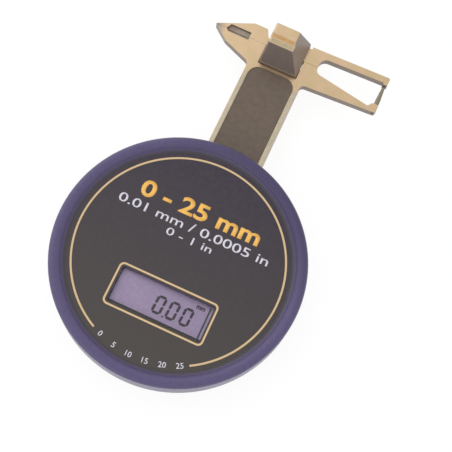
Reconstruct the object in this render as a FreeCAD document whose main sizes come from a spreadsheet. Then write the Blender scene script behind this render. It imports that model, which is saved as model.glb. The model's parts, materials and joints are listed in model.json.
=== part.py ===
import FreeCAD, Part
import math
import os
import re
import Sketcher
from FreeCAD import Placement, Rotation, Vector

# Digital gemstone gauge, lying on its back. Millimetres.
# Origin: on the axis of the round case, in the plane that it rests on.
# +Z comes out of the display, +Y runs along the arm to the jaws, +X points to the needle side.

doc = FreeCAD.newDocument("gemstone_gauge")
sheet = doc.addObject("Spreadsheet::Sheet", "Sizes")

DIMENSIONS = [
    # Round case
    ("case_radius", 30.2, "outside of the round case"),
    ("case_wall", 1.8, "side wall of both shells"),
    ("rim_rise", 1.4, "raised rim above the face"),
    ("rim_width", 3.1, "raised rim around the face"),
    ("rim_round", 1.25, "outer edge of the rim"),
    ("rim_flat", 0.04, "flat left on top of the rim"),
    ("gate_gap", 0.2, "front shell above the arm"),
    ("base_inset", 2.5, "flat underside inside the heel"),
    ("heel_step", 1.4, "heel inside the case radius"),
    ("heel_level", 1.9, "height of the heel"),
    ("heel_round", 3.0, "rounding of the heel"),
    ("base_round", 0.9, "rounding around the flat underside"),
    ("floor_thickness", 1.5, "floor of the back shell"),
    ("lip_height", 0.9, "locating lip of the back shell"),
    ("lip_thickness", 0.8, "locating lip of the back shell"),
    ("lip_seat", 1.6, "lip against the wall below the joint"),
    ("shell_fit", 0.1, "gap around parts that drop into the shells"),
    ("display_room", 2.0, "display glass and connectors between board and deck"),
    ("panel_thickness", 0.6, "face panel"),
    ("deck_thickness", 1.2, "deck of the front shell under the panel"),
    # Display
    ("window_x", 0.7, "centre of the display window"),
    ("window_y", -11.35, "centre of the display window"),
    ("window_length", 23.4, "display window"),
    ("window_height", 8.9, "display window"),
    ("window_corner", 0.6, "corner radius of the window"),
    ("lens_ledge", 0.9, "ledge that the lens is bonded to"),
    ("lens_thickness", 0.7, "clear window lens"),
    ("lcd_margin", 1.6, "display glass beyond the window"),
    ("lcd_thickness", 1.1, "display glass"),
    ("holder_wall", 1.0, "frame around the display glass"),
    ("zebra_width", 1.5, "rubber connector strip"),
    # Circuit board
    ("board_thickness", 1.0, "circuit board"),
    ("board_gap", 2.2, "circuit board to the case wall"),
    ("boss_inset", 1.8, "case screw boss to the case wall"),
    ("boss_radius", 2.4, "case screw boss"),
    ("boss_angle_arm", 30, "case screws beside the arm, from +Y"),
    ("boss_angle_low", 50, "case screws at the far end, from -Y"),
    ("boss_relief", 0.3, "plates around each boss"),
    ("post_radius", 1.7, "post that carries the circuit board"),
    ("post_side_inset", 9.4, "posts left and right, from the case wall"),
    ("post_side_y", 5.0, "posts left and right"),
    ("chip_size", 9.0, "controller chip"),
    ("chip_height", 1.4, "controller chip"),
    ("chip_x", -4.5, "centre of the controller chip"),
    ("chip_y", 9.0, "centre of the controller chip"),
    ("crystal_radius", 0.9, "quartz crystal"),
    ("crystal_length", 5.4, "quartz crystal"),
    ("crystal_x", 6.0, "axis of the quartz crystal"),
    ("capacitor_width", 1.3, "capacitors"),
    ("capacitor_length", 2.2, "capacitors"),
    ("capacitor_height", 0.9, "capacitors"),
    ("capacitor_pitch", 2.6, "from one capacitor to the next"),
    ("capacitor_x", 9.0, "first capacitor"),
    ("capacitor_y", 10.0, "row of capacitors"),
    ("switch_length", 3.0, "tact switch, along the press"),
    ("switch_width", 5.0, "tact switch"),
    ("switch_height", 4.2, "tact switch below the circuit board"),
    ("post_end_inset", 6.4, "posts at the two ends, from the case wall"),
    # Arm and fixed jaw
    ("arm_offset", 0.5, "centre line of the arm from the case axis"),
    ("arm_width", 14.7, "arm"),
    ("arm_gap", 1.8, "arm to the tips of the wheel's teeth"),
    ("arm_screw_side", 5.6, "arm screws from the centre line"),
    ("arm_screw_low", 2.2, "inner arm screws from the arm's end"),
    ("arm_screw_inset", 3.1, "outer arm screws from the edge of the underside"),
    ("channel_floor", 1.3, "floor of the arm under the slide"),
    ("cover_width", 12.2, "dark cover strip"),
    ("cover_thickness", 1.2, "dark cover strip"),
    ("cover_recess", 0.1, "cover strip below the arm's edges"),
    ("cover_corner", 2.9, "rounded top corners of the cover strip"),
    ("cover_seat", 6.2, "cover strip inside the case"),
    ("land_width", 0.9, "bridge of the fixed jaw between cover and block"),
    ("jaw_thickness", 2.0, "jaw plates"),
    ("parting_line", 62.4, "height where the closed jaws meet"),
    ("jaw_gap", 0.05, "gap left between the closed jaws"),
    ("jaw_drop", 6.3, "fixed jaw below the parting line"),
    ("jaw_rise", 4.8, "moving jaw above the parting line"),
    ("beak_reach", 19.0, "beak tip from the arm's centre line"),
    ("beak_tip_height", 0.15, "blunt end of each beak tip"),
    ("beak_shoulder", 10.0, "where the upper beak reaches its full height"),
    ("beak_knee", 15.0, "bend of the lower beak"),
    ("beak_knee_drop", 3.3, "bend of the lower beak below the parting line"),
    ("relief_inner", 9.8, "inner end of the relief in the beak"),
    ("relief_outer", 16.2, "outer end of the relief in the beak"),
    ("relief_low", 0.7, "relief below the parting line"),
    ("relief_high", 1.5, "relief above the parting line"),
    ("relief_depth", 1.2, "depth of the relief in the beak"),
    ("frame_reach", 27.5, "needle frame from the arm's centre line"),
    ("window_left", 9.4, "inner end of the needle window"),
    ("bar_rise", 3.0, "underside of the upper bar above the parting line"),
    ("bar_lift", 0.6, "outer end of the upper bar above its inner end"),
    ("beak_drop", 0.4, "top of the upper beak below the bar's inner end"),
    ("window_round", 2.1, "rounded inner end of the needle window"),
    ("wedge_drop_left", 1.5, "inner end of the wedge below the parting line"),
    ("wedge_drop_right", 4.1, "outer end of the wedge below the parting line"),
    ("needle_post_width", 1.7, "post under the needle"),
    ("needle_post_drop", 2.9, "top of the needle's post below the parting line"),
    ("needle_inset", 0.65, "needle axis from the outer end"),
    ("needle_radius", 0.62, "needle at its foot"),
    ("needle_tip_radius", 0.36, "needle at its tip"),
    ("needle_length", 1.8, "thick part of the needle above its post"),
    ("needle_seat", 2.5, "length pressed into the post"),
    ("foot_width", 1.2, "foot that the needle meets"),
    ("foot_drop", 0.5, "foot that the needle meets"),
    ("stalk_round", 1.4, "round corner between arm and jaws"),
    ("arm_shy", 1.6, "thick arm ends below the parting line"),
    ("jaw_round", 0.4, "corners of the moving jaw"),
    ("wedge_round", 1.7, "lower corner of the needle window"),
    ("needle_post_slope", 0.9, "slope beside the needle's post"),
    ("frame_lift", 1.1, "outer end of the needle frame's lower edge above its inner end"),
    ("frame_bevel", 0.4, "outer lower corner of the fixed jaw"),
    ("frame_bevel_rise", 0.5, "outer lower corner of the fixed jaw"),
    ("relief_slant", 0.8, "slanted outer end of the relief"),
    ("cover_gap", 0.05, "gap around the cover strip"),
    # Slide with its rack
    ("bar_width", 8.0, "slide bar"),
    ("bar_thickness", 1.1, "slide bar"),
    ("bar_shy", 0.7, "slide bar below the moving jaw's top"),
    ("bar_bevel", 0.5, "corners of the slide bar"),
    ("slide_fit", 0.05, "running clearance of the slide"),
    ("bar_tail", 3.5, "slide bar past the pinion when the jaws are open"),
    ("travel", 25.0, "opening of the jaws"),
    ("rack_module", 0.35, "rack and pinion"),
    ("rack_addendum", 0.8, "tooth above the pitch line, in modules"),
    ("rack_dedendum", 1.05, "tooth below the pitch line, in modules"),
    ("pressure_angle", 20, "all teeth"),
    ("tooth_backlash", 0.06, "taken off every tooth's thickness"),
    ("tongue_gap", 0.2, "around the tongue of the moving jaw"),
    ("notch_width", 1.5, "relief beside the thumb block"),
    ("notch_foot", 0.4, "bottom of the relief beside the thumb block"),
    ("notch_depth", 2.7, "relief beside the thumb block"),
    # Thumb block
    ("block_offset", 0.3, "block centre from the arm's centre line"),
    ("block_width", 10.3, "thumb block at its foot"),
    ("block_length", 10.1, "thumb block at its foot"),
    ("block_foot", 0.9, "upright foot of the thumb block"),
    ("block_height", 9.0, "thumb block above the jaws"),
    ("crest_width", 6.3, "top of the thumb block"),
    ("crest_length", 5.1, "top of the thumb block"),
    ("crest_shift_x", -1.1, "top of the block towards the beak"),
    ("crest_shift_y", -0.05, "top of the block towards the jaw tops"),
    ("grip_drop", 0.7, "lower step in front of the block's top"),
    ("grip_lip", 1.2, "lower step in front of the block's top"),
    ("grip_slope", 1.0, "slope behind the lower step"),
    ("block_screw_front", 2.2, "front jaw screw from the block's front"),
    ("block_screw_back", 2.4, "back jaw screw from the block's back"),
    ("block_round", 0.35, "rounded edges of the block"),
    # Movement
    ("plate_gap", 5.4, "movement plate to the case wall"),
    ("plate_screw_inset", 2.6, "movement screws from the plate's edge"),
    ("plate_screw_arm", 36, "movement screw beside the arm, from +X"),
    ("plate_screw_low", 66, "movement screws at the far end, from the X axis"),
    ("plate_screw_side", 3.0, "inner movement screw from the slide bar"),
    ("plate_screw_drop", 3.5, "inner movement screw from the arm's end"),
    ("pinion_teeth", 16, "pinion that the rack drives"),
    ("pinion_y", 4.0, "height of the pinion along the rack"),
    ("wheel_module", 0.25, "wheel and rotor pinion"),
    ("wheel_teeth", 64, "wheel on the pinion's arbor"),
    ("wheel_addendum", 0.85, "tooth above the pitch circle, in modules"),
    ("wheel_dedendum", 1.1, "tooth below the pitch circle, in modules"),
    ("pinion_gap", 0.15, "rack pinion below the wheel"),
    ("mesh_overhang", 0.125, "rotor pinion beyond each face of the wheel"),
    ("rotor_teeth", 16, "pinion of the encoder rotor"),
    ("rotor_bearing", -60, "direction from wheel to rotor, from +X"),
    ("wheel_lift", 0.5, "wheel above the slide bar"),
    ("wheel_thickness", 0.5, "wheel"),
    ("arbor_radius", 0.6, "arbors"),
    ("pivot_radius", 0.3, "pivots of the arbors"),
    ("pivot_fit", 0.03, "running clearance of the pivots"),
    ("bush_radius", 0.9, "bearing bushes"),
    ("bridge_lift", 0.35, "gear bridge above the wheel"),
    ("bridge_thickness", 0.6, "gear bridge"),
    ("bridge_round", 1.0, "corners of the gear bridge"),
    ("bridge_edge", 2.2, "gear bridge around its pillars"),
    ("rotor_lift", 0.2, "encoder rotor above the bridge screws"),
    ("rotor_gap", 0.25, "encoder rotor below the stator"),
    ("rotor_thickness", 0.4, "encoder rotor"),
    ("rotor_radius", 7.4, "encoder rotor"),
    ("rotor_windows", 12, "windows of the encoder rotor"),
    ("rotor_rim", 0.8, "encoder rotor outside its windows"),
    ("rotor_window", 2.6, "window of the encoder rotor, along the radius"),
    ("hub_radius", 1.3, "hub of the encoder rotor"),
    ("stator_thickness", 0.1, "copper track under the board"),
    ("stator_width", 4.0, "copper track under the board"),
    ("pillar_radius", 1.1, "pillars of the gear bridge"),
    ("pillar_gap", 0.64, "pillars to the tips of the wheel's teeth"),
    ("pillar_pin", 0.55, "foot of a pillar in the plate"),
    ("pillar_angle_one", 18, "first pillar from the wheel's axis, from +X"),
    ("pillar_angle_two", -92, "second pillar from the wheel's axis, from +X"),
    ("pillar_angle_three", -38, "third pillar from the wheel's axis, from +X"),
    ("pillar_stretch", 1.45, "third pillar's reach by the others'"),
    ("guide_width", 1.0, "guide rails beside the slide"),
    ("rail_end", 1.0, "guide rails short of the arm"),
    ("rail_gap", 0.6, "guide rail to the pinion's teeth"),
    ("spring_side", 2.7, "axis of the return spring from the slide bar"),
    ("spring_length", 8.6, "return spring, post to post"),
    ("spring_lift", 0.14, "return spring above the slide bar"),
    ("lug_stop", 1.2, "spring lug short of the arm when the jaws are open"),
    ("spring_radius", 1.05, "return spring, middle of the wire"),
    ("spring_wire", 0.32, "wire of the return spring"),
    ("spring_turns", 8, "coils of the return spring"),
    ("hook_post_radius", 0.4, "posts that hold the spring"),
    ("post_over_hook", 0.7, "posts above the spring's axis"),
    ("hook_gap", 0.05, "hook around its post"),
    ("hook_reach", 1.5, "coils to the post"),
    ("hook_lean", 37, "where the wire meets its ring, from +X"),
    ("lug_width_spring", 2.0, "lug that pulls the spring"),
    ("lug_plate", 0.45, "lug that pulls the spring"),
    ("lug_overlap", 1.7, "lug on the slide bar"),
    # Battery
    ("cell_inset", 2.15, "bayonet lug to the edge of the underside"),
    ("cell_y", -4.0, "centre of the button cell"),
    ("cell_radius", 5.8, "button cell"),
    ("cell_height", 4.2, "button cell"),
    ("cell_lift", 0.7, "button cell above the floor"),
    ("cell_rim", 0.9, "step around the cell's lower pole"),
    ("cell_step", 0.4, "step around the cell's lower pole"),
    ("holder_gap", 0.15, "battery holder around the cell"),
    ("holder_ring", 0.9, "battery holder"),
    ("contact_sheet", 0.2, "sprung contacts"),
    ("contact_hole", 1.2, "hole in a sprung contact"),
    ("contact_radius", 5.0, "sprung contacts"),
    ("contact_land", 0.6, "flat rims of a sprung contact"),
    ("cover_margin", 1.1, "battery cover beyond the cell"),
    ("cover_fit", 0.1, "gap around the battery cover"),
    ("cover_level", 0.15, "battery cover above the table"),
    ("cover_web", 1.1, "plate of the battery cover"),
    ("cover_skirt", 1.4, "skirt of the battery cover"),
    ("cover_bevel", 0.2, "edge of the battery cover"),
    ("lug_lift", 0.03, "lugs above the floor"),
    ("lug_reach", 0.95, "bayonet lugs of the battery cover"),
    ("lug_thickness", 0.45, "bayonet lugs of the battery cover"),
    ("lug_width", 4.0, "bayonet lugs of the battery cover"),
    ("lug_root", 1.0, "lugs and their notches inside the cover's edge"),
    ("lug_sweep", 0.5, "movement plate around the turning lugs"),
    ("unlock_angle", 60, "turn that opens the battery cover"),
    ("coin_slot_width", 1.7, "coin slot"),
    ("coin_slot_length", 9.5, "coin slot"),
    ("coin_slot_depth", 0.8, "coin slot"),
    # Buttons
    ("button_angle_one", 146, "first button from +X"),
    ("button_angle_two", 166, "second button from +X"),
    ("button_level", 4.0, "axis of the buttons"),
    ("button_radius", 1.5, "button"),
    ("button_fit", 0.12, "gap around a button"),
    ("button_round", 0.35, "edge of a button"),
    ("button_recess", 0.2, "outer end of a button inside the case radius"),
    ("button_length", 4.0, "button"),
    ("press_travel", 0.4, "travel of a button"),
    ("button_flange", 0.5, "flange that keeps a button in"),
    # Screws
    ("screw_radius", 0.75, "case screws"),
    ("screw_head", 1.4, "case screw heads"),
    ("screw_seat", 1.35, "seat of the case screw heads above the table"),
    ("screw_bite", 2.9, "case screws in the front shell"),
    ("head_recess", 0.15, "screw heads above the table"),
    ("small_screw", 0.5, "inner screws"),
    ("small_head", 0.95, "inner screw heads"),
    ("head_height", 0.35, "inner screw heads"),
    ("screw_slack", 0.05, "hole around an inner screw's shank"),
    ("arm_bite", 2.6, "arm screws in the arm"),
    ("block_bite", 3.5, "jaw screws in the thumb block"),
    ("plate_bite", 0.9, "movement screws in the floor"),
    ("bridge_bite", 1.4, "bridge screws in the pillars"),
    ("board_bite", 1.5, "board screws in the posts"),
    ("hole_end", 0.1, "blind hole beyond its screw"),
    # Making
    ("overrun", 1.0, "cuts beyond the material"),
    ("tooth_overrun", 0.1, "tooth gap beyond the bar's edge"),
]

for row, (alias, value, note) in enumerate(DIMENSIONS, start=1):
    sheet.set("A%d" % row, alias)
    sheet.set("B%d" % row, repr(value))
    sheet.set("C%d" % row, note)
    sheet.setAlias("B%d" % row, alias)
doc.recompute()

# Sizes and places that follow from the driving ones.
DERIVED = {
    # Round case
    "wall_inside": "case_radius-case_wall",
    "face_recess": "case_radius-rim_width",
    "heel_radius": "case_radius-heel_step",
    "base_radius": "heel_radius-base_inset",
    "split_level": "arm_front+gate_gap",
    "deck_under": "board_top+display_room",
    "panel_under": "deck_under+deck_thickness",
    "face_level": "panel_under+panel_thickness",
    "rim_top": "face_level+rim_rise",
    # Circuit board
    "board_radius": "wall_inside-board_gap",
    "board_under": "rotor_level+rotor_thickness+rotor_gap+stator_thickness",
    "board_top": "board_under+board_thickness",
    "boss_circle": "wall_inside-boss_radius-boss_inset",
    "post_side_x": "wall_inside-post_side_inset",
    "post_end_y": "wall_inside-post_end_inset",
    # Arm, slide and jaws
    "arm_front": "jaw_under+jaw_thickness",
    "arm_left": "arm_offset-arm_width/2",
    "arm_right": "arm_offset+arm_width/2",
    "arm_inner_end": "pinion_y+wheel_tip+arm_gap",
    "slide_floor": "floor_thickness+channel_floor",
    "bar_under": "slide_floor+slide_fit",
    "bar_top": "bar_under+bar_thickness",
    "jaw_under": "bar_top+slide_fit",
    "bar_left": "arm_offset-bar_width/2",
    "bar_right": "arm_offset+bar_width/2",
    "bar_inner_end": "pinion_y-travel-bar_tail",
    "channel_left": "bar_left-2*slide_fit",
    "channel_right": "bar_right+2*slide_fit",
    "cover_inner_end": "case_radius-cover_seat",
    "cover_left": "arm_offset-cover_width/2",
    "cover_right": "arm_offset+cover_width/2",
    "cover_under": "arm_front-cover_recess-cover_thickness",
    "jaw_bottom": "parting_line-jaw_drop",
    "jaw_top": "parting_line+jaw_rise",
    "moving_line": "parting_line+jaw_gap",
    "bar_underside": "parting_line+bar_rise",
    "foot_level": "bar_underside+bar_lift-foot_drop",
    "beak_top": "jaw_top-beak_drop",
    "frame_low": "jaw_bottom+frame_lift",
    "wedge_left": "parting_line-wedge_drop_left",
    "wedge_right": "parting_line-wedge_drop_right",
    "needle_post_top": "parting_line-needle_post_drop",
    "notch_bottom": "jaw_bottom+land_width",
    "beak_tip": "arm_offset-beak_reach",
    "window_start": "arm_offset+window_left",
    "frame_end": "arm_offset+frame_reach",
    # Thumb block
    "block_x": "arm_offset+block_offset",
    "block_front": "notch_bottom+tongue_gap",
    "block_middle": "block_front+block_length/2",
    "tongue_left": "block_x-block_width/2",
    "tongue_right": "block_x+block_width/2",
    "crest": "arm_front+block_height",
    "crest_x": "block_x+crest_shift_x",
    "crest_y": "block_middle+crest_shift_y",
    "crest_front": "crest_y-crest_length/2",
    "hip_foot": "arm_front+block_foot",
    # Movement
    "plate_radius": "wall_inside-plate_gap",
    "plate_screws": "plate_radius-plate_screw_inset",
    "plate_hole": "plate_bite+hole_end",
    "rack_pitch": "pi*rack_module",
    "pinion_tip": "rack_module*(pinion_teeth/2+rack_addendum)",
    "wheel_tip": "wheel_module*(wheel_teeth/2+wheel_addendum)",
    "wheel_x": "bar_right-rack_addendum*rack_module+rack_module*pinion_teeth/2",
    "arbor_span": "wheel_module*(wheel_teeth+rotor_teeth)/2",
    "rotor_x": "wheel_x+arbor_span*cos(rotor_bearing)",
    "rotor_y": "pinion_y+arbor_span*sin(rotor_bearing)",
    "pillar_reach": "wheel_tip+pillar_radius+pillar_gap",
    "wheel_level": "bar_top+wheel_lift",
    "bridge_level": "wheel_level+wheel_thickness+bridge_lift",
    "bridge_top": "bridge_level+bridge_thickness",
    "bridge_hole": "bridge_bite+hole_end",
    "rotor_level": "bridge_top+head_height+rotor_lift",
    "rail_start": "bar_inner_end+bar_tail",
    "rail_stop": "arm_inner_end-rail_end",
    "spring_x": "bar_left-spring_side",
    "spring_lug_y": "arm_inner_end-travel-lug_stop",
    "spring_anchor_y": "spring_lug_y-spring_length",
    "spring_level": "bar_top+spring_lift+spring_radius+spring_wire/2",
    "spring_post_top": "spring_level+post_over_hook",
    # Battery and buttons
    "holder_bore": "cell_radius+holder_gap",
    "cover_radius": "cell_radius+cover_margin",
    "lug_under": "floor_thickness+lug_lift",
    "cover_height": "lug_under+lug_thickness-cover_level",
    "cell_x": "cover_radius+lug_reach+cell_inset-base_radius",
    "cell_level": "floor_thickness+cell_lift",
    "button_face": "case_radius-button_recess",
    "button_inner": "button_face-button_length",
}
ALIASES = set(alias for alias, value, note in DIMENSIONS)
WORD = re.compile("[a-z][a-z_]*")
SUBPARTS = []


def expand(text):
    """The expression with every derived size written out in driving ones."""

    def written_out(match):
        name = match.group()
        return "(%s)" % DERIVED[name] if name in DERIVED else name

    wider = WORD.sub(written_out, str(text))
    return wider if wider == str(text) else expand(wider)


def formula(text):
    """The expression with every alias pointed at the sheet."""

    def pointed(match):
        name = match.group()
        return "Sizes." + name if name in ALIASES else name

    return WORD.sub(pointed, expand(text))


def size(text):
    """The value of an expression, as a number."""
    return float(sheet.evalExpression(expand(text)))


def bind(thing, **formulas):
    """Bind properties of an object to expressions; x, y and z are its position."""
    for name, text in formulas.items():
        path = "Placement.Base." + name if name in ("x", "y", "z") else name
        thing.setExpression(path, formula(text))
    return thing


def subpart(thing, label):
    """Give the object the name of its file and list it for writing."""
    thing.Label = label
    SUBPARTS.append(thing)
    return thing


def body(label, **place):
    """An empty body at a bound position."""
    made = doc.addObject("PartDesign::Body", label + "_body")
    bind(made, **place)
    return subpart(made, label)


def sketch(owner, level="0", plane="XY_Plane"):
    """A sketch on one of the body's own origin planes, raised to a level."""
    drawn = owner.newObject("Sketcher::SketchObject", "outline")
    origin = [feature for feature in owner.Origin.OriginFeatures if feature.Role == plane][0]
    drawn.AttachmentSupport = [(origin, "")]
    drawn.MapMode = "FlatFace"
    drawn.setExpression("AttachmentOffset.Base.z", formula(level))
    return drawn


def constrain(drawn, kind, geometry, point, text):
    """Pin a point's distance from the sketch's origin to an expression."""
    index = drawn.addConstraint(Sketcher.Constraint(kind, -1, 1, geometry, point, size(text)))
    drawn.setExpression("Constraints[%d]" % index, formula(text))


def polygon(drawn, corners):
    """A closed outline through the corners, each a pair of expressions."""
    spots = [Vector(size(x), size(y), 0) for x, y in corners]
    first = drawn.GeometryCount
    count = len(spots)
    for index, spot in enumerate(spots):
        drawn.addGeometry(Part.LineSegment(spot, spots[(index + 1) % count]), False)
    for index, (x, y) in enumerate(corners):
        after = first + (index + 1) % count
        drawn.addConstraint(Sketcher.Constraint("Coincident", first + index, 2, after, 1))
        constrain(drawn, "DistanceX", first + index, 1, x)
        constrain(drawn, "DistanceY", first + index, 1, y)
    return drawn


def rectangle(drawn, left, right, low, high):
    """A rectangle between four expressions."""
    return polygon(drawn, [(left, low), (right, low), (right, high), (left, high)])


def circle(drawn, x, y, radius):
    """A circle with a bound centre and radius."""
    centre = Vector(size(x), size(y), 0)
    index = drawn.addGeometry(Part.Circle(centre, Vector(0, 0, 1), size(radius)), False)
    bound = drawn.addConstraint(Sketcher.Constraint("Radius", index, size(radius)))
    drawn.setExpression("Constraints[%d]" % bound, formula(radius))
    constrain(drawn, "DistanceX", index, 3, x)
    constrain(drawn, "DistanceY", index, 3, y)
    return drawn


def pad(owner, drawn, height):
    """Raise a sketch upwards by a height."""
    made = owner.newObject("PartDesign::Pad", "pad")
    made.Profile = drawn
    made.setExpression("Length", formula(height))
    drawn.Visibility = False
    doc.recompute()
    return made


def cut(owner, drawn, height):
    """Cut a sketch upwards by a height, and make sure that it removed material."""
    before = owner.Shape.Volume
    made = owner.newObject("PartDesign::Pocket", "pocket")
    made.Profile = drawn
    made.Reversed = True
    made.setExpression("Length", formula(height))
    doc.recompute()
    if not made.Shape.Volume < before:
        raise ValueError("nothing was cut from " + owner.Label)
    return made


def turn(owner, corners):
    """Revolve a profile of (radius, height) corners about the body's Z axis."""
    drawn = polygon(sketch(owner, plane="XZ_Plane"), corners)
    made = owner.newObject("PartDesign::Revolution", "revolution")
    made.Profile = drawn
    made.ReferenceAxis = (drawn, ["V_Axis"])
    made.Angle = 360
    doc.recompute()
    return made


def finish_edges(owner, kind, radius, chosen):
    """Fillet or chamfer the edges of the body that the test picks."""
    base = owner.Tip
    names = ["Edge%d" % (i + 1) for i, edge in enumerate(base.Shape.Edges) if chosen(edge)]
    if not names:
        raise ValueError("no edge was found on " + owner.Label)
    made = owner.newObject("PartDesign::" + kind, kind.lower())
    made.Base = (base, names)
    made.setExpression("Radius" if kind == "Fillet" else "Size", formula(radius))
    doc.recompute()
    return made


def near(value, target):
    """Whether two lengths agree to a few microns."""
    return abs(value - target) < 0.004


def upright_at(*corners):
    """A test for upright straight edges that stand on the given corners."""
    spots = [(size(x), size(y)) for x, y in corners]

    def chosen(edge):
        ends = [vertex.Point for vertex in edge.Vertexes]
        if len(ends) < 2 or not near((ends[0] - ends[1]).Length, abs(ends[0].z - ends[1].z)):
            return False
        return any(near(ends[0].x, x) and near(ends[0].y, y) for x, y in spots)

    return chosen


def ring_at(radius, level):
    """A test for full circles of a radius at a level."""

    def chosen(edge):
        if not isinstance(edge.Curve, Part.Circle):
            return False
        return near(edge.Curve.Radius, size(radius)) and near(edge.BoundBox.ZMin, size(level))

    return chosen


def cylinder(radius, height, **place):
    """A round bar on Z."""
    return bind(doc.addObject("Part::Cylinder", "bar"), Radius=radius, Height=height, **place)


def box(length, width, height, **place):
    """A block with its lowest corner at the given place."""
    return bind(doc.addObject("Part::Box", "block"), Length=length, Width=width, Height=height, **place)


def fuse(label, pieces):
    """One sub-part from several pieces, which stay apart where they don't touch."""
    made = doc.addObject("Part::MultiFuse", label + "_group")
    made.Shapes = pieces
    return subpart(made, label)


def ring(label, outer, inner, height, **place):
    """A flat ring."""
    made = doc.addObject("Part::Cut", label + "_ring")
    made.Base = cylinder(outer, height, **place)
    made.Tool = cylinder(inner, height, **place)
    return made


def screws(label, places, shank, head, shank_low, shank_top, head_low, head_top):
    """Plain screws on Z, one solid for each place."""
    pieces = []
    for x, y in places:
        pieces.append(cylinder(shank, "(%s)-(%s)" % (shank_top, shank_low), x=x, y=y, z=shank_low))
        pieces.append(cylinder(head, "(%s)-(%s)" % (head_top, head_low), x=x, y=y, z=head_low))
    return fuse(label, pieces)


def radial(angle, reach, level):
    """A placement whose Z axis points out of the case at an angle."""
    bearing = math.radians(size(angle))
    spot = Vector(size(reach) * math.cos(bearing), size(reach) * math.sin(bearing), size(level))
    return Placement(spot, Rotation(size(angle), 90, 0))


# Places that several pieces share.
BOSSES = [
    ("boss_circle*sin(boss_angle_arm)", "boss_circle*cos(boss_angle_arm)"),
    ("-boss_circle*sin(boss_angle_arm)", "boss_circle*cos(boss_angle_arm)"),
    ("boss_circle*sin(boss_angle_low)", "-boss_circle*cos(boss_angle_low)"),
    ("-boss_circle*sin(boss_angle_low)", "-boss_circle*cos(boss_angle_low)"),
]
POSTS = [
    ("post_side_x", "post_side_y"),
    ("-post_side_x", "post_side_y"),
    ("0", "post_end_y"),
    ("0", "-post_end_y"),
]
ARM_SCREWS = [
    ("arm_offset%sarm_screw_side" % side, reach)
    for side in "+-"
    for reach in ("arm_inner_end+arm_screw_low", "base_radius-arm_screw_inset")
]
JAW_SCREWS = [
    ("block_x", "block_front+block_screw_front"),
    ("block_x", "block_front+block_length-block_screw_back"),
]
MOVEMENT_SCREWS = [
    ("bar_left-plate_screw_side", "arm_inner_end-plate_screw_drop"),
    ("plate_screws*cos(plate_screw_arm)", "plate_screws*sin(plate_screw_arm)"),
    ("plate_screws*cos(plate_screw_low)", "-plate_screws*sin(plate_screw_low)"),
    ("-plate_screws*cos(plate_screw_low)", "-plate_screws*sin(plate_screw_low)"),
]
ARBORS = [("wheel_x", "pinion_y"), ("rotor_x", "rotor_y")]


def from_wheel(angle, factor):
    """A place at a bearing from the wheel's axis, clear of its teeth."""
    return (
        "(wheel_x+%s*pillar_reach*cos(%s))" % (factor, angle),
        "(pinion_y+%s*pillar_reach*sin(%s))" % (factor, angle),
    )


PILLARS = [
    from_wheel("pillar_angle_one", "1"),
    from_wheel("pillar_angle_two", "1"),
    from_wheel("pillar_angle_three", "pillar_stretch"),
]


def spoke(angle, inner, outer, half):
    """Corners of a bar that lies along a bearing from the cell's centre."""
    return [
        (
            "cell_x+(%s)*cos(%s)-(%s)*sin(%s)" % (reach, angle, side, angle),
            "cell_y+(%s)*sin(%s)+(%s)*cos(%s)" % (reach, angle, side, angle),
        )
        for reach, side in ((inner, "-" + half), (outer, "-" + half), (outer, half), (inner, half))
    ]


def pad_circles(owner, level, places, radius, height):
    """Round pads at several places."""
    drawn = sketch(owner, level)
    for x, y in places:
        circle(drawn, x, y, radius)
    return pad(owner, drawn, height)


def cut_circles(owner, level, places, radius, height):
    """Round holes at several places."""
    drawn = sketch(owner, level)
    for x, y in places:
        circle(drawn, x, y, radius)
    return cut(owner, drawn, height)


def bore_along(owner, radius, length, placement):
    """A round hole along any direction, starting at the placement."""
    before = owner.Shape.Volume
    made = owner.newObject("PartDesign::SubtractiveCylinder", "bore")
    made.setExpression("Radius", formula(radius))
    made.setExpression("Height", formula(length))
    made.Placement = placement
    doc.recompute()
    if not made.Shape.Volume < before:
        raise ValueError("no bore was cut from " + owner.Label)
    return made


# Back shell: a shallow dish with the arm's gate, the bosses and the battery opening.
back_shell = body("back_shell")
turn(
    back_shell,
    [
        ("0", "0"),
        ("base_radius", "0"),
        ("heel_radius", "heel_level"),
        ("case_radius", "split_level"),
        ("wall_inside", "split_level"),
        ("heel_radius-case_wall", "heel_level"),
        ("base_radius", "floor_thickness"),
        ("0", "floor_thickness"),
    ],
)
finish_edges(back_shell, "Fillet", "base_round", ring_at("base_radius", "0"))
finish_edges(back_shell, "Fillet", "heel_round", ring_at("heel_radius", "heel_level"))
lip = sketch(back_shell, "split_level-lip_seat")
circle(lip, "0", "0", "wall_inside-shell_fit")
circle(lip, "0", "0", "wall_inside-shell_fit-lip_thickness")
pad(back_shell, lip, "lip_height+lip_seat")
pad_circles(back_shell, "floor_thickness", BOSSES, "boss_radius", "split_level-floor_thickness")
gate = sketch(back_shell, "floor_thickness")
gate_end = "arm_inner_end+arm_screw_low"
rectangle(gate, "arm_left-shell_fit", "arm_right+shell_fit", gate_end, "case_radius+overrun")
cut(back_shell, gate, "split_level+lip_height")
cut_circles(back_shell, "0", BOSSES, "screw_radius+shell_fit", "split_level")
cut_circles(back_shell, "0", BOSSES, "screw_head+shell_fit", "screw_seat")
cut_circles(back_shell, "0", ARM_SCREWS, "small_screw+shell_fit", "floor_thickness")
cut_circles(back_shell, "0", ARM_SCREWS, "small_head+shell_fit", "head_recess+head_height")
cut_circles(back_shell, "floor_thickness-plate_hole", MOVEMENT_SCREWS, "small_screw", "plate_hole")
cut_circles(back_shell, "0", [("cell_x", "cell_y")], "cover_radius+cover_fit", "floor_thickness")
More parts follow.
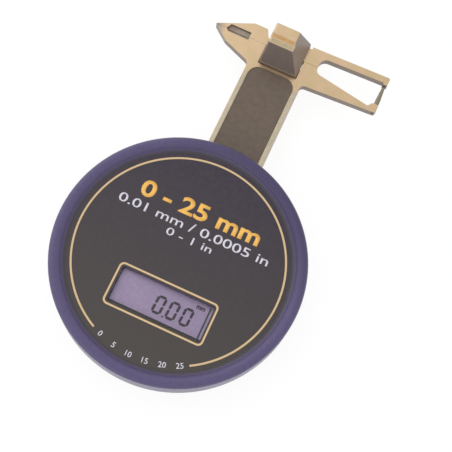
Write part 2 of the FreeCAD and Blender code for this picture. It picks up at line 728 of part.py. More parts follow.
for turned in ("unlock_angle", "(unlock_angle+180)"):
    notch_reach = "cover_radius+lug_reach+cover_fit"
    notch = spoke(turned, "cover_radius-lug_root", notch_reach, "(lug_width/2+cover_fit)")
    cut(back_shell, polygon(sketch(back_shell), notch), "floor_thickness")
for angle in ("button_angle_one", "button_angle_two"):
    press_line = radial(angle, "button_inner", "button_level")
    bore_along(back_shell, "button_radius+button_fit", "button_length+overrun", press_line)

# Front shell: the raised round rim, the deck under the face panel and the posts inside.
front_shell = body("front_shell")
turn(
    front_shell,
    [
        ("0", "deck_under"),
        ("wall_inside", "deck_under"),
        ("wall_inside", "split_level"),
        ("case_radius", "split_level"),
        ("case_radius", "rim_top"),
        ("face_recess", "rim_top"),
        ("face_recess", "panel_under"),
        ("0", "panel_under"),
    ],
)
finish_edges(front_shell, "Fillet", "rim_round", ring_at("case_radius", "rim_top"))
finish_edges(front_shell, "Fillet", "rim_width-rim_round-rim_flat", ring_at("face_recess", "rim_top"))
pad_circles(front_shell, "split_level", BOSSES, "boss_radius", "deck_under-split_level")
pad_circles(front_shell, "board_top", POSTS, "post_radius", "deck_under-board_top")
cut_circles(front_shell, "split_level", BOSSES, "screw_radius", "screw_bite+hole_end")
cut_circles(front_shell, "board_top", POSTS, "small_screw", "board_bite+hole_end")


def window(drawn, grow):
    """A rectangle around the display window, larger by a margin on every side."""
    return rectangle(
        drawn,
        "window_x-window_length/2-(%s)" % grow,
        "window_x+window_length/2+(%s)" % grow,
        "window_y-window_height/2-(%s)" % grow,
        "window_y+window_height/2+(%s)" % grow,
    )


WINDOW_CORNERS = [
    ("window_x%swindow_length/2" % across, "window_y%swindow_height/2" % along)
    for across in "+-"
    for along in "+-"
]
cut(front_shell, window(sketch(front_shell, "deck_under"), "0"), "deck_thickness")
finish_edges(front_shell, "Fillet", "window_corner", upright_at(*WINDOW_CORNERS))
cut(front_shell, window(sketch(front_shell, "deck_under"), "lens_ledge"), "lens_thickness")

# Face panel: the flat printed disc inside the rim.
face_panel = body("face_panel")
pad_circles(face_panel, "panel_under", [("0", "0")], "face_recess-shell_fit", "panel_thickness")
cut(face_panel, window(sketch(face_panel, "panel_under"), "0"), "panel_thickness")
finish_edges(face_panel, "Fillet", "window_corner", upright_at(*WINDOW_CORNERS))

# Display: lens, glass, its frame and the rubber connectors.
window_lens = body("window_lens")
pad(window_lens, window(sketch(window_lens, "deck_under"), "lens_ledge-shell_fit"), "lens_thickness")
lcd_glass = body("lcd_glass")
pad(lcd_glass, window(sketch(lcd_glass, "deck_under-lcd_thickness"), "lcd_margin"), "lcd_thickness")
lcd_holder = body("lcd_holder")
frame_outline = sketch(lcd_holder, "board_top")
window(frame_outline, "lcd_margin+shell_fit+holder_wall")
window(frame_outline, "lcd_margin+shell_fit")
pad(lcd_holder, frame_outline, "deck_under-board_top")
fuse(
    "zebra_strips",
    [
        box(
            "window_length",
            "zebra_width",
            "deck_under-lcd_thickness-board_top",
            x="window_x-window_length/2",
            y="window_y%s(window_height/2+lcd_margin-zebra_width/2-2*shell_fit)-zebra_width/2" % side,
            z="board_top",
        )
        for side in "+-"
    ],
)

# Circuit board and what is soldered to it.
circuit_board = body("circuit_board")
pad_circles(circuit_board, "board_under", [("0", "0")], "board_radius", "board_thickness")
for boss in BOSSES:
    cut_circles(circuit_board, "board_under", [boss], "boss_radius+boss_relief", "board_thickness")
cut_circles(circuit_board, "board_under", POSTS, "small_screw+shell_fit", "board_thickness")
controller_chip = box(
    "chip_size", "chip_size", "chip_height", x="chip_x-chip_size/2", y="chip_y-chip_size/2", z="board_top"
)
subpart(controller_chip, "controller_chip")
quartz_crystal = cylinder(
    "crystal_radius",
    "crystal_length",
    x="crystal_x",
    y="chip_y+crystal_length",
    z="board_top+crystal_radius",
)
quartz_crystal.Placement.Rotation = Rotation(Vector(1, 0, 0), 90)
subpart(quartz_crystal, "quartz_crystal")
fuse(
    "capacitors",
    [
        box(
            "capacitor_width",
            "capacitor_length",
            "capacitor_height",
            x="capacitor_x+capacitor_pitch*%d" % index,
            y="capacitor_y",
            z="board_top",
        )
        for index in range(4)
    ],
)
encoder_stator = ring(
    "encoder_stator",
    "rotor_radius",
    "rotor_radius-stator_width",
    "stator_thickness",
    x="rotor_x",
    y="rotor_y",
    z="board_under-stator_thickness",
)
subpart(encoder_stator, "encoder_stator")
switches = []
for angle in ("button_angle_one", "button_angle_two"):
    switch = box("switch_length", "switch_width", "switch_height")
    turned = Rotation(Vector(0, 0, 1), size(angle))
    corner = Vector(
        size("button_inner-press_travel-slide_fit-switch_length"),
        size("-switch_width/2"),
        size("board_under-switch_height"),
    )
    switch.Placement = Placement(turned.multVec(corner), turned)
    switches.append(switch)
fuse("tact_switches", switches)

# Button cell, its holder and spring.
battery_holder = ring(
    "battery_holder",
    "holder_bore+holder_ring",
    "holder_bore",
    "board_under-cell_level",
    x="cell_x",
    y="cell_y",
    z="cell_level",
)
subpart(battery_holder, "battery_holder")
button_cell = body("button_cell", x="cell_x", y="cell_y", z="cell_level")
turn(
    button_cell,
    [
        ("0", "0"),
        ("cell_radius-cell_rim", "0"),
        ("cell_radius-cell_rim", "cell_step"),
        ("cell_radius", "cell_step"),
        ("cell_radius", "cell_height"),
        ("0", "cell_height"),
    ],
)


def contact_spring(label, low, height, wide_end_up):
    """A dished contact ring on the cell's axis."""
    made = body(label, x="cell_x", y="cell_y", z=low)
    narrow, wide, away = ("0", height, "+") if wide_end_up else (height, "0", "-")
    toward = "-" if wide_end_up else "+"
    wide_inner = "(%s)%scontact_sheet" % (wide, toward)
    narrow_inner = "(%s)%scontact_sheet" % (narrow, away)
    turn(
        made,
        [
            ("contact_hole", narrow),
            ("contact_hole+contact_land+contact_sheet", narrow),
            ("contact_radius-contact_land", wide_inner),
            ("contact_radius", wide_inner),
            ("contact_radius", wide),
            ("contact_radius-contact_land-contact_sheet", wide),
            ("contact_hole+contact_land", narrow_inner),
            ("contact_hole", narrow_inner),
        ],
    )
    return made


contact_spring("cell_spring", "cell_level+cell_height", "(board_under-cell_level-cell_height)", True)

# Battery cover: a coin-turned cap with two bayonet lugs, and the contact on it.
battery_cover = body("battery_cover")
CELL_AXIS = [("cell_x", "cell_y")]
pad_circles(battery_cover, "cover_level", CELL_AXIS, "cover_radius", "cover_height")
for turned in ("0", "180"):
    lug = spoke(turned, "cover_radius-lug_root", "cover_radius+lug_reach", "(lug_width/2)")
    pad(battery_cover, polygon(sketch(battery_cover, "lug_under"), lug), "lug_thickness")
cover_well = "cover_radius-cover_skirt"
cut_circles(battery_cover, "cover_level+cover_web", CELL_AXIS, cover_well, "cover_height")
coin_slot = spoke("90", "-coin_slot_length/2", "coin_slot_length/2", "(coin_slot_width/2)")
cut(battery_cover, polygon(sketch(battery_cover, "cover_level"), coin_slot), "coin_slot_depth")
finish_edges(battery_cover, "Chamfer", "cover_bevel", ring_at("cover_radius", "cover_level"))
contact_height = "(cell_level-slide_fit-cover_level-cover_web)"
contact_spring("cover_contact", "cover_level+cover_web", contact_height, False)

# Buttons on the side of the case.
for label, angle in (("power_button", "button_angle_one"), ("zero_button", "button_angle_two")):
    button = body(label)
    turn(
        button,
        [
            ("0", "0"),
            ("button_radius+button_flange", "0"),
            ("button_radius+button_flange", "button_flange"),
            ("button_radius", "button_flange"),
            ("button_radius", "button_length"),
            ("0", "button_length"),
        ],
    )
    finish_edges(button, "Fillet", "button_round", ring_at("button_radius", "button_length"))
    button.Placement = radial(angle, "button_inner", "button_level")

# Screws that hold the case, the board and the arm.
screws(
    "case_screws",
    BOSSES,
    "screw_radius",
    "screw_head",
    "screw_seat",
    "split_level+screw_bite",
    "head_recess",
    "screw_seat",
)
screws(
    "board_screws",
    POSTS,
    "small_screw",
    "small_head",
    "board_under",
    "board_top+board_bite",
    "board_under-head_height",
    "board_under",
)
screws(
    "arm_screws",
    ARM_SCREWS,
    "small_screw",
    "small_head",
    "head_recess+head_height",
    "floor_thickness+arm_bite",
    "head_recess",
    "head_recess+head_height",
)

# Fixed jaw: the arm with the slide's channel, the lower beak and the needle frame, in one piece.
fixed_jaw = body("fixed_jaw")
arm = sketch(fixed_jaw, "floor_thickness")
rectangle(arm, "arm_left", "arm_right", "arm_inner_end", "parting_line-arm_shy")
pad(fixed_jaw, arm, "arm_front-floor_thickness")
head = sketch(fixed_jaw, "jaw_under")
polygon(
    head,
    [
        ("arm_left", "jaw_bottom-overrun"),
        ("arm_left", "jaw_bottom"),
        ("arm_offset-beak_knee", "parting_line-beak_knee_drop"),
        ("beak_tip", "parting_line-beak_tip_height"),
        ("beak_tip", "parting_line"),
        ("window_start", "parting_line"),
        ("window_start", "wedge_left"),
        ("frame_end-needle_post_width-needle_post_slope", "wedge_right"),
        ("frame_end-needle_post_width", "needle_post_top"),
        ("frame_end", "needle_post_top"),
        ("frame_end", "frame_low+frame_bevel_rise"),
        ("frame_end-frame_bevel", "frame_low"),
        ("arm_right", "jaw_bottom"),
        ("arm_right", "jaw_bottom-overrun"),
    ],
)
pad(fixed_jaw, head, "jaw_thickness")
stalk_corners = [("arm_left", "jaw_bottom"), ("arm_right", "jaw_bottom")]
finish_edges(fixed_jaw, "Fillet", "stalk_round", upright_at(*stalk_corners))
finish_edges(fixed_jaw, "Fillet", "wedge_round", upright_at(("window_start", "wedge_left")))
channel = sketch(fixed_jaw, "slide_floor")
channel_start = "arm_inner_end-overrun"
rectangle(channel, "channel_left", "channel_right", channel_start, "parting_line+overrun")
cut(fixed_jaw, channel, "jaw_under-slide_floor")
under_cover = sketch(fixed_jaw, "jaw_under")
rectangle(under_cover, "channel_left", "channel_right", channel_start, "jaw_bottom-cover_corner")
cut(fixed_jaw, under_cover, "cover_under-jaw_under")
recess = sketch(fixed_jaw, "cover_under")
rectangle(recess, "cover_left-cover_gap", "cover_right+cover_gap", "cover_inner_end", "jaw_bottom")
cut(fixed_jaw, recess, "cover_thickness+overrun")
recess_corners = [("cover_left-cover_gap", "jaw_bottom"), ("cover_right+cover_gap", "jaw_bottom")]
finish_edges(fixed_jaw, "Fillet", "cover_corner", upright_at(*recess_corners))
tongue_notch = sketch(fixed_jaw, "bar_top-slide_fit")
notch_sides = "tongue_left-tongue_gap", "tongue_right+tongue_gap"
rectangle(tongue_notch, *notch_sides, "notch_bottom", "parting_line+overrun")
cut(fixed_jaw, tongue_notch, "jaw_thickness+overrun")


def cut_relief(owner, end):
    """The shallow relief across the closed beaks, on one side of the parting line."""
    drawn = sketch(owner, "arm_front-relief_depth")
    start = "parting_line+jaw_gap/2"
    corners = [
        ("arm_offset-relief_outer", start),
        ("arm_offset-relief_inner", start),
        ("arm_offset-relief_inner", end),
        ("arm_offset-relief_outer+relief_slant", end),
    ]
    return cut(owner, polygon(drawn, corners), "relief_depth")


cut_relief(fixed_jaw, "parting_line-relief_low")
cut_circles(fixed_jaw, "floor_thickness", ARM_SCREWS, "small_screw", "arm_bite")
needle_foot = Vector(
    size("frame_end-needle_inset"),
    size("needle_post_top-needle_seat"),
    size("arm_front-jaw_thickness/2"),
)
needle_line = Placement(needle_foot, Rotation(Vector(1, 0, 0), -90))
bore_along(fixed_jaw, "needle_tip_radius", "needle_seat+overrun", needle_line)

# Needle, pressed into its post; its point meets the foot of the upper bar.
jaw_needle = body("jaw_needle")
NEEDLE_TOP = "(foot_level-jaw_gap-needle_post_top+needle_seat)"
turn(
    jaw_needle,
    [
        ("0", "0"),
        ("needle_tip_radius", "0"),
        ("needle_tip_radius", "needle_seat"),
        ("needle_radius", "needle_seat"),
        ("needle_radius", "needle_seat+needle_length"),
        ("needle_tip_radius", NEEDLE_TOP),
        ("0", NEEDLE_TOP),
    ],
)
jaw_needle.Placement = needle_line

# Dark cover strip that closes the channel.
arm_cover = body("arm_cover")
strip = sketch(arm_cover, "cover_under")
rectangle(strip, "cover_left", "cover_right", "cover_inner_end+cover_gap", "jaw_bottom-cover_gap")
pad(arm_cover, strip, "cover_thickness")
strip_corners = [("cover_left", "jaw_bottom-cover_gap"), ("cover_right", "jaw_bottom-cover_gap")]
finish_edges(arm_cover, "Fillet", "cover_corner", upright_at(*strip_corners))

# Slide bar with the rack cut into its edge, one tooth gap repeated along the travel.
FIRST_GAP = "(pinion_y-floor((pinion_y-bar_inner_end-2*rack_module)/rack_pitch)*rack_pitch)"
RACK_GAPS = "(floor(travel/rack_pitch)+6)"
GAP_HALF = "(rack_pitch/4+tooth_backlash/2)"
GAP_FLANK = "tan(pressure_angle)"
GAP_FLOOR = "bar_right-(rack_addendum+rack_dedendum)*rack_module"
slide_bar = body("slide_bar")
bar = sketch(slide_bar, "bar_under")
rectangle(bar, "bar_left", "bar_right", "bar_inner_end", "jaw_top-bar_shy")
pad(slide_bar, bar, "bar_thickness")
bar_corners = [("bar_left", "jaw_top-bar_shy"), ("bar_right", "jaw_top-bar_shy")]
finish_edges(slide_bar, "Chamfer", "bar_bevel", upright_at(*bar_corners))
cut_circles(slide_bar, "bar_under", JAW_SCREWS, "small_screw+screw_slack", "bar_thickness")
cut_circles(slide_bar, "bar_under", JAW_SCREWS, "small_head+screw_slack", "slide_fit+head_height")
tooth_gap = sketch(slide_bar, "bar_under")
mouth_half = "%s+%s*(rack_addendum*rack_module+tooth_overrun)" % (GAP_HALF, GAP_FLANK)
floor_half = "%s-%s*rack_dedendum*rack_module" % (GAP_HALF, GAP_FLANK)
polygon(
    tooth_gap,
    [
        ("bar_right+tooth_overrun", "%s-(%s)" % (FIRST_GAP, mouth_half)),
        ("bar_right+tooth_overrun", "%s+(%s)" % (FIRST_GAP, mouth_half)),
        (GAP_FLOOR, "%s+(%s)" % (FIRST_GAP, floor_half)),
        (GAP_FLOOR, "%s-(%s)" % (FIRST_GAP, floor_half)),
    ],
)
first_gap = cut(slide_bar, tooth_gap, "bar_thickness")
rack = slide_bar.newObject("PartDesign::LinearPattern", "rack")
rack.Originals = [first_gap]
rack.Direction = (tooth_gap, ["V_Axis"])
rack.setExpression("Length", formula("(%s-1)*rack_pitch" % RACK_GAPS))
rack.setExpression("Occurrences", formula(RACK_GAPS))
slide_bar.Tip = rack
doc.recompute()

# Moving jaw: upper beak, tongue under the thumb block, and the bar with its foot.
moving_jaw = body("moving_jaw")
upper = sketch(moving_jaw, "bar_top")
polygon(
    upper,
    [
        ("beak_tip", "moving_line"),
        ("tongue_left", "moving_line"),
        ("tongue_left", "block_front"),
        ("tongue_right", "block_front"),
        ("tongue_right", "moving_line"),
        ("window_start", "moving_line"),
        ("window_start", "bar_underside"),
        ("frame_end-foot_width", "bar_underside+bar_lift"),
        ("frame_end-foot_width", "foot_level"),
        ("frame_end", "foot_level"),
        ("frame_end", "jaw_top+bar_lift"),
        ("tongue_right+notch_width/2", "jaw_top"),
        ("tongue_right+notch_width/2", "jaw_top-notch_depth/4"),
        ("tongue_right", "jaw_top-notch_depth/4"),
        ("tongue_right", "jaw_top"),
        ("tongue_left", "jaw_top"),
        ("tongue_left", "jaw_top-notch_depth"),
        ("tongue_left-notch_foot", "jaw_top-notch_depth"),
        ("tongue_left-notch_width", "beak_top"),
        ("arm_offset-beak_shoulder", "beak_top"),
        ("beak_tip", "moving_line+beak_tip_height"),
    ],
)
pad(moving_jaw, upper, "arm_front-bar_top")
finish_edges(moving_jaw, "Fillet", "window_round", upright_at(("window_start", "bar_underside")))
jaw_corners = [
    ("frame_end", "jaw_top+bar_lift"),
    ("arm_offset-beak_shoulder", "beak_top"),
    ("tongue_left-notch_width", "beak_top"),
]
finish_edges(moving_jaw, "Fillet", "jaw_round", upright_at(*jaw_corners))
cut_relief(moving_jaw, "moving_line+relief_high")
cut_circles(moving_jaw, "bar_top", JAW_SCREWS, "small_screw+screw_slack", "jaw_thickness+overrun")

# Thumb block: a hipped block with a lower step in front of its top.
thumb_block = body("thumb_block")


def block_foot_at(level):
    """The outline of the thumb block's foot at a level."""
    return rectangle(
        sketch(thumb_block, level),
        "tongue_left",
        "tongue_right",
        "block_front",
        "block_front+block_length",
    )


pad(thumb_block, block_foot_at("arm_front"), "block_foot")
hip = thumb_block.newObject("PartDesign::AdditiveLoft", "hip")
hip.Profile = block_foot_at("hip_foot")
crest_outline = rectangle(
    sketch(thumb_block, "crest"),
    "crest_x-crest_width/2",
    "crest_x+crest_width/2",
    "crest_front",
    "crest_front+crest_length",
)
hip.Sections = [crest_outline]
hip.Ruled = True
doc.recompute()


grip = polygon(
    sketch(thumb_block, "tongue_left-overrun", plane="YZ_Plane"),
    [
        ("block_front-overrun", "crest-grip_drop"),
        ("crest_front+grip_lip", "crest-grip_drop"),
        ("crest_front+grip_lip+grip_slope", "crest"),
        ("crest_front+grip_lip+grip_slope", "crest+overrun"),
        ("block_front-overrun", "crest+overrun"),
    ],
)
cut(thumb_block, grip, "block_width+2*overrun")


def block_edge(edge):
    """The edges of the block that a thumb feels: all but those on its underside."""
    return edge.BoundBox.ZMax > size("arm_front+block_foot/2")


finish_edges(thumb_block, "Fillet", "block_round", block_edge)
cut_circles(thumb_block, "arm_front", JAW_SCREWS, "small_screw", "block_bite+hole_end")
screws(
    "jaw_screws",
    JAW_SCREWS,
    "small_screw",
    "small_head",
    "bar_under+slide_fit+head_height",
    "arm_front+block_bite",
    "bar_under+slide_fit",
    "bar_under+slide_fit+head_height",
)

# Movement plate with the guide rails, gear bridge and bearings.
movement_plate = body("movement_plate")
pad_circles(movement_plate, "floor_thickness", [("0", "0")], "plate_radius", "channel_floor")
arm_side = sketch(movement_plate, "floor_thickness")
plate_sides = "-plate_radius-overrun", "plate_radius+overrun"
rectangle(arm_side, *plate_sides, "arm_inner_end-shell_fit", "plate_radius+overrun")
cut(movement_plate, arm_side, "channel_floor")
cell_side = "cover_radius+lug_reach+lug_sweep"
cut_circles(movement_plate, "floor_thickness", CELL_AXIS, cell_side, "channel_floor")
for boss in BOSSES[2:]:
    cut_circles(movement_plate, "floor_thickness", [boss], "boss_radius+boss_relief", "channel_floor")
ear = sketch(movement_plate, "floor_thickness")
rectangle(ear, "-plate_radius-overrun", *BOSSES[3], "cell_y")
cut(movement_plate, ear, "channel_floor")
cut_circles(movement_plate, "floor_thickness", ARBORS, "bush_radius", "channel_floor")
cut_circles(movement_plate, "floor_thickness", PILLARS, "pillar_pin", "channel_floor")
cut_circles(movement_plate, "floor_thickness", MOVEMENT_SCREWS, "small_screw+screw_slack", "channel_floor")
anchor_place = [("spring_x", "spring_anchor_y")]
cut_circles(movement_plate, "floor_thickness", anchor_place, "hook_post_radius", "channel_floor")
screws(
    "movement_screws",
    MOVEMENT_SCREWS,
    "small_screw",
    "small_head",
    "floor_thickness-plate_bite",
    "slide_floor",
    "slide_floor",
    "slide_floor+head_height",
)
rail_height = "bar_thickness-slide_fit"
fuse(
    "guide_rails",
    [
        box("guide_width", "rail_stop-(%s)" % start, rail_height, x=x, y=start, z="slide_floor")
        for x, start in (
            ("channel_left-guide_width", "rail_start"),
            ("channel_right", "pinion_y+pinion_tip+rail_gap"),
        )
    ],
)
pillar_pieces = []
for x, y in PILLARS:
    pillar_pieces.append(cylinder("pillar_pin", "channel_floor", x=x, y=y, z="floor_thickness"))
    shank = doc.addObject("Part::Cut", "pillar")
    shank.Base = cylinder("pillar_radius", "bridge_level-slide_floor", x=x, y=y, z="slide_floor")
    shank.Tool = cylinder("small_screw", "bridge_hole", x=x, y=y, z="bridge_level-bridge_hole")
    pillar_pieces.append(shank)
fuse("bridge_pillars", pillar_pieces)
screws(
    "bridge_screws",
    PILLARS,
    "small_screw",
    "small_head",
    "bridge_level-bridge_bite",
    "bridge_top",
    "bridge_top",
    "bridge_top+head_height",
)
gear_bridge = body("gear_bridge")
(A_X, A_Y), (B_X, B_Y), (C_X, C_Y) = PILLARS
BRIDGE_CORNERS = [
    ("wheel_x-bridge_edge", "pinion_y+bridge_edge"),
    (B_X + "-bridge_edge", B_Y),
    (B_X, B_Y + "-bridge_edge"),
    (C_X, C_Y + "-bridge_edge"),
    (C_X + "+bridge_edge", C_Y),
    (A_X + "+bridge_edge", A_Y),
    (A_X, A_Y + "+bridge_edge"),
]
pad(gear_bridge, polygon(sketch(gear_bridge, "bridge_level"), BRIDGE_CORNERS), "bridge_thickness")
finish_edges(gear_bridge, "Fillet", "bridge_round", upright_at(*BRIDGE_CORNERS))
cut_circles(gear_bridge, "bridge_level", ARBORS, "bush_radius", "bridge_thickness")
cut_circles(gear_bridge, "bridge_level", PILLARS, "small_screw+screw_slack", "bridge_thickness")


def bushes(label, level, height):
    """The bearing bushes of both arbors at one level."""
    made = []
    for x, y in ARBORS:
        made.append(ring(label, "bush_radius", "pivot_radius+pivot_fit", height, x=x, y=y, z=level))
    return fuse(label, made)


bushes("lower_bushes", "floor_thickness", "channel_floor")
bushes("upper_bushes", "bridge_level", "bridge_thickness")


def arbor(label, x, y, top):
    """A shaft with a pivot at its foot, a shoulder under the bridge and a journal above."""
    made = body(label, x=x, y=y)
    turn(
        made,
        [
            ("0", "floor_thickness+2*slide_fit"),
            ("pivot_radius", "floor_thickness+2*slide_fit"),
            ("pivot_radius", "bar_under"),
            ("arbor_radius", "bar_under"),
            ("arbor_radius", "bridge_level-slide_fit"),
            ("pivot_radius", "bridge_level-slide_fit"),
            ("pivot_radius", top),
            ("0", top),
        ],
    )
    return made


arbor("wheel_arbor", "wheel_x", "pinion_y", "bridge_top-slide_fit")
arbor("rotor_arbor", "rotor_x", "rotor_y", "rotor_level+rotor_thickness")


def involute_flank(module, teeth, tip, root, flank_points):
    """One side of a tooth, as (radius, half angle) from the root to the tip."""
    pitch = module * teeth / 2
    base = pitch * math.cos(math.radians(size("pressure_angle")))
    outer = pitch + tip * module
    inner = pitch - root * module
    half = math.pi / (2 * teeth) - size("tooth_backlash") / 2 / pitch

    def unroll(radius):
        angle = math.sqrt(max((radius / base) ** 2 - 1, 0))
        return angle - math.atan(angle)

    foot = max(inner, base)
    flank = []
    for step in range(flank_points):
        radius = foot + (outer - foot) * step / (flank_points - 1)
        flank.append((radius, half + unroll(pitch) - unroll(radius)))
    if inner < base:
        flank.insert(0, (inner, flank[0][1]))
    return flank


def gear(label, flank, teeth, low, height, x, y, phase):
    """A spur gear on an arbor, with the first tooth at the phase angle."""
    points = []
    for tooth in range(teeth):
        middle = 2 * math.pi * tooth / teeth + phase
        sides = [(radius, middle - half) for radius, half in flank]
        sides += [(radius, middle + half) for radius, half in reversed(flank)]
        points += [Vector(radius * math.cos(angle), radius * math.sin(angle), 0) for radius, angle in sides]
    blank = Part.Face(Part.makePolygon(points + points[:1])).extrude(Vector(0, 0, height))
    made = doc.addObject("Part::Feature", label + "_gear")
    made.Shape = blank.cut(Part.makeCylinder(size("arbor_radius"), height))
    made.Placement = Placement(Vector(size(x), size(y), low), Rotation())
    return subpart(made, label)


# The rack pinion has a tooth pointing at the rack, where the rack has a gap.
PINION_TEETH = int(size("pinion_teeth"))
WHEEL_TEETH = int(size("wheel_teeth"))
ROTOR_TEETH = int(size("rotor_teeth"))
TOWARD_ROTOR = math.radians(size("rotor_bearing"))
rack_teeth = size("rack_module"), PINION_TEETH, size("rack_addendum"), size("rack_dedendum")
wheel_teeth = size("wheel_module"), WHEEL_TEETH, size("wheel_addendum"), size("wheel_dedendum")
rotor_teeth = size("wheel_module"), ROTOR_TEETH, size("wheel_addendum"), size("wheel_dedendum")
gear(
    "rack_pinion",
    involute_flank(*rack_teeth, flank_points=5),
    PINION_TEETH,
    size("bar_under"),
    size("wheel_level-pinion_gap-bar_under"),
    "wheel_x",
    "pinion_y",
    math.pi,
)
gear(
    "encoder_wheel",
    involute_flank(*wheel_teeth, flank_points=3),
    WHEEL_TEETH,
    size("wheel_level"),
    size("wheel_thickness"),
    "wheel_x",
    "pinion_y",
    TOWARD_ROTOR,
)
gear(
    "rotor_pinion",
    involute_flank(*rotor_teeth, flank_points=4),
    ROTOR_TEETH,
    size("wheel_level-mesh_overhang"),
    size("wheel_thickness+2*mesh_overhang"),
    "rotor_x",
    "rotor_y",
    TOWARD_ROTOR + math.pi + math.pi / ROTOR_TEETH,
)

# Encoder rotor: a thin disc with radial windows, on a hub.
encoder_rotor = body("encoder_rotor", x="rotor_x", y="rotor_y")
rotor_disc = sketch(encoder_rotor, "rotor_level")
circle(rotor_disc, "0", "0", "rotor_radius")
circle(rotor_disc, "0", "0", "pivot_radius")
pad(encoder_rotor, rotor_disc, "rotor_thickness")
hub = sketch(encoder_rotor, "bridge_top+slide_fit")
circle(hub, "0", "0", "hub_radius")
circle(hub, "0", "0", "pivot_radius")
pad(encoder_rotor, hub, "rotor_level-bridge_top-slide_fit")
rotor_window = sketch(encoder_rotor, "rotor_level")
OUTER_REACH = "(rotor_radius-rotor_rim)"
INNER_REACH = "(rotor_radius-rotor_rim-rotor_window)"
polygon(
    rotor_window,
    [
        ("%s*cos(90/rotor_windows)" % reach, "%s%s*sin(90/rotor_windows)" % (side, reach))
        for reach, side in ((INNER_REACH, "-"), (OUTER_REACH, "-"), (OUTER_REACH, ""), (INNER_REACH, ""))
    ],
)
first_window = cut(encoder_rotor, rotor_window, "rotor_thickness")
windows = encoder_rotor.newObject("PartDesign::PolarPattern", "windows")
windows.Originals = [first_window]
windows.Axis = (rotor_window, ["N_Axis"])
windows.Angle = 360
windows.setExpression("Occurrences", formula("rotor_windows"))
encoder_rotor.Tip = windows
doc.recompute()

# Return spring between a post on the plate and a lug on the slide bar.
anchor_height = "spring_post_top-floor_thickness"
spring_anchor = cylinder(
    "hook_post_radius", anchor_height, x="spring_x", y="spring_anchor_y", z="floor_thickness"
)
subpart(spring_anchor, "spring_anchor")
fuse(
    "spring_lug",
    [
        box(
            "bar_left+lug_overlap-spring_x+lug_width_spring/2",
            "lug_width_spring",
            "lug_plate",
            x="spring_x-lug_width_spring/2",
            y="spring_lug_y-lug_width_spring/2",
            z="bar_top",
        ),
        cylinder(
            "hook_post_radius",
            "spring_post_top-bar_top",
            x="spring_x",
            y="spring_lug_y",
            z="bar_top",
        ),
    ],
)


def coil_spring():
    """A close coil of hexagonal wire along Y, with a ring hooked over each post."""
    wire = size("spring_wire") / 2
    radius = size("spring_radius")
    level = size("spring_level")
    axis_x = size("spring_x")
    ends = [size("spring_anchor_y"), size("spring_lug_y")]
    low = ends[0] + size("hook_reach")
    high = ends[1] - size("hook_reach")
    path = Part.makeHelix((high - low) / size("spring_turns"), high - low, radius)
    corners = [math.radians(60 * side) for side in range(6)]
    section = [Vector(radius + wire * math.cos(a), 0, wire * math.sin(a)) for a in corners]
    profile = Part.makePolygon(section + section[:1])
    coil = Part.Wire(path.Edges).makePipeShell([profile], True, True)
    coil.rotate(Vector(0, 0, 0), Vector(1, 0, 0), -90)
    coil.translate(Vector(axis_x, low, level))
    loop = size("hook_post_radius") + wire + size("hook_gap")
    lean = math.radians(size("hook_lean"))
    pieces = []
    for post_y, end_y in zip(ends, (low, high)):
        away = 1 if end_y > post_y else -1
        start = Vector(axis_x + radius, end_y, level)
        finish = Vector(axis_x + loop * math.cos(lean), post_y + away * loop * math.sin(lean), level)
        pieces.append(Part.makeTorus(loop, wire, Vector(axis_x, post_y, level)))
        pieces.append(Part.makeCylinder(wire, (finish - start).Length, start, finish - start))
        pieces.append(Part.makeSphere(wire, start))
    return coil.fuse(pieces)


return_spring = doc.addObject("Part::Feature", "return_spring_wire")
return_spring.Shape = coil_spring()
subpart(return_spring, "return_spring")

# Nothing is written unless every object and every sub-part is sound.
doc.recompute()
for thing in doc.Objects:
    if "Invalid" in thing.State or "Error" in thing.State:
        raise ValueError("%s is not sound: %s" % (thing.Label, thing.State))
for thing in SUBPARTS:
    if thing.Shape.isNull() or not thing.Shape.isValid() or not thing.Shape.Solids:
        raise ValueError("%s has no sound solid" % thing.Label)

os.makedirs("parts", exist_ok=True)
for thing in SUBPARTS:
    thing.Shape.exportStep("parts/%s.step" % thing.Label)
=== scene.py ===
import json
import math
import bmesh
import bpy
from mathutils import Euler, Matrix, Vector


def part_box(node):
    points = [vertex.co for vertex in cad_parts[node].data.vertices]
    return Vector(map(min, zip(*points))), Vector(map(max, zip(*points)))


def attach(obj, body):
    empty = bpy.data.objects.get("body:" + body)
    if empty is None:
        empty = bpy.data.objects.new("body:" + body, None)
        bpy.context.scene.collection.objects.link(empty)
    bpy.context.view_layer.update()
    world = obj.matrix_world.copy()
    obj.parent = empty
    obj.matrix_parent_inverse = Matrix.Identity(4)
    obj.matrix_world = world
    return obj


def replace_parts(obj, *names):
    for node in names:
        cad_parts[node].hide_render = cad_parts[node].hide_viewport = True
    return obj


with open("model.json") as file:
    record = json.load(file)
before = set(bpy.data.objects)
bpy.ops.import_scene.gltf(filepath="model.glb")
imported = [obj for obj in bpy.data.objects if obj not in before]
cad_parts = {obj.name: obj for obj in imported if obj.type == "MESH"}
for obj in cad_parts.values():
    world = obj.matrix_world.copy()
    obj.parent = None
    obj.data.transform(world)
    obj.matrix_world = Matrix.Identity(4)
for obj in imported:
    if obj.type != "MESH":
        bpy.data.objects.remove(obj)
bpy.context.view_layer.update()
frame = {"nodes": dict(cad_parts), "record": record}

# Shapes are given in millimetres, and this turns them into metres.
MM = 0.001


def placed(name, content):
    """A new object in the scene."""
    made = bpy.data.objects.new(name, content)
    bpy.context.scene.collection.objects.link(made)
    return made


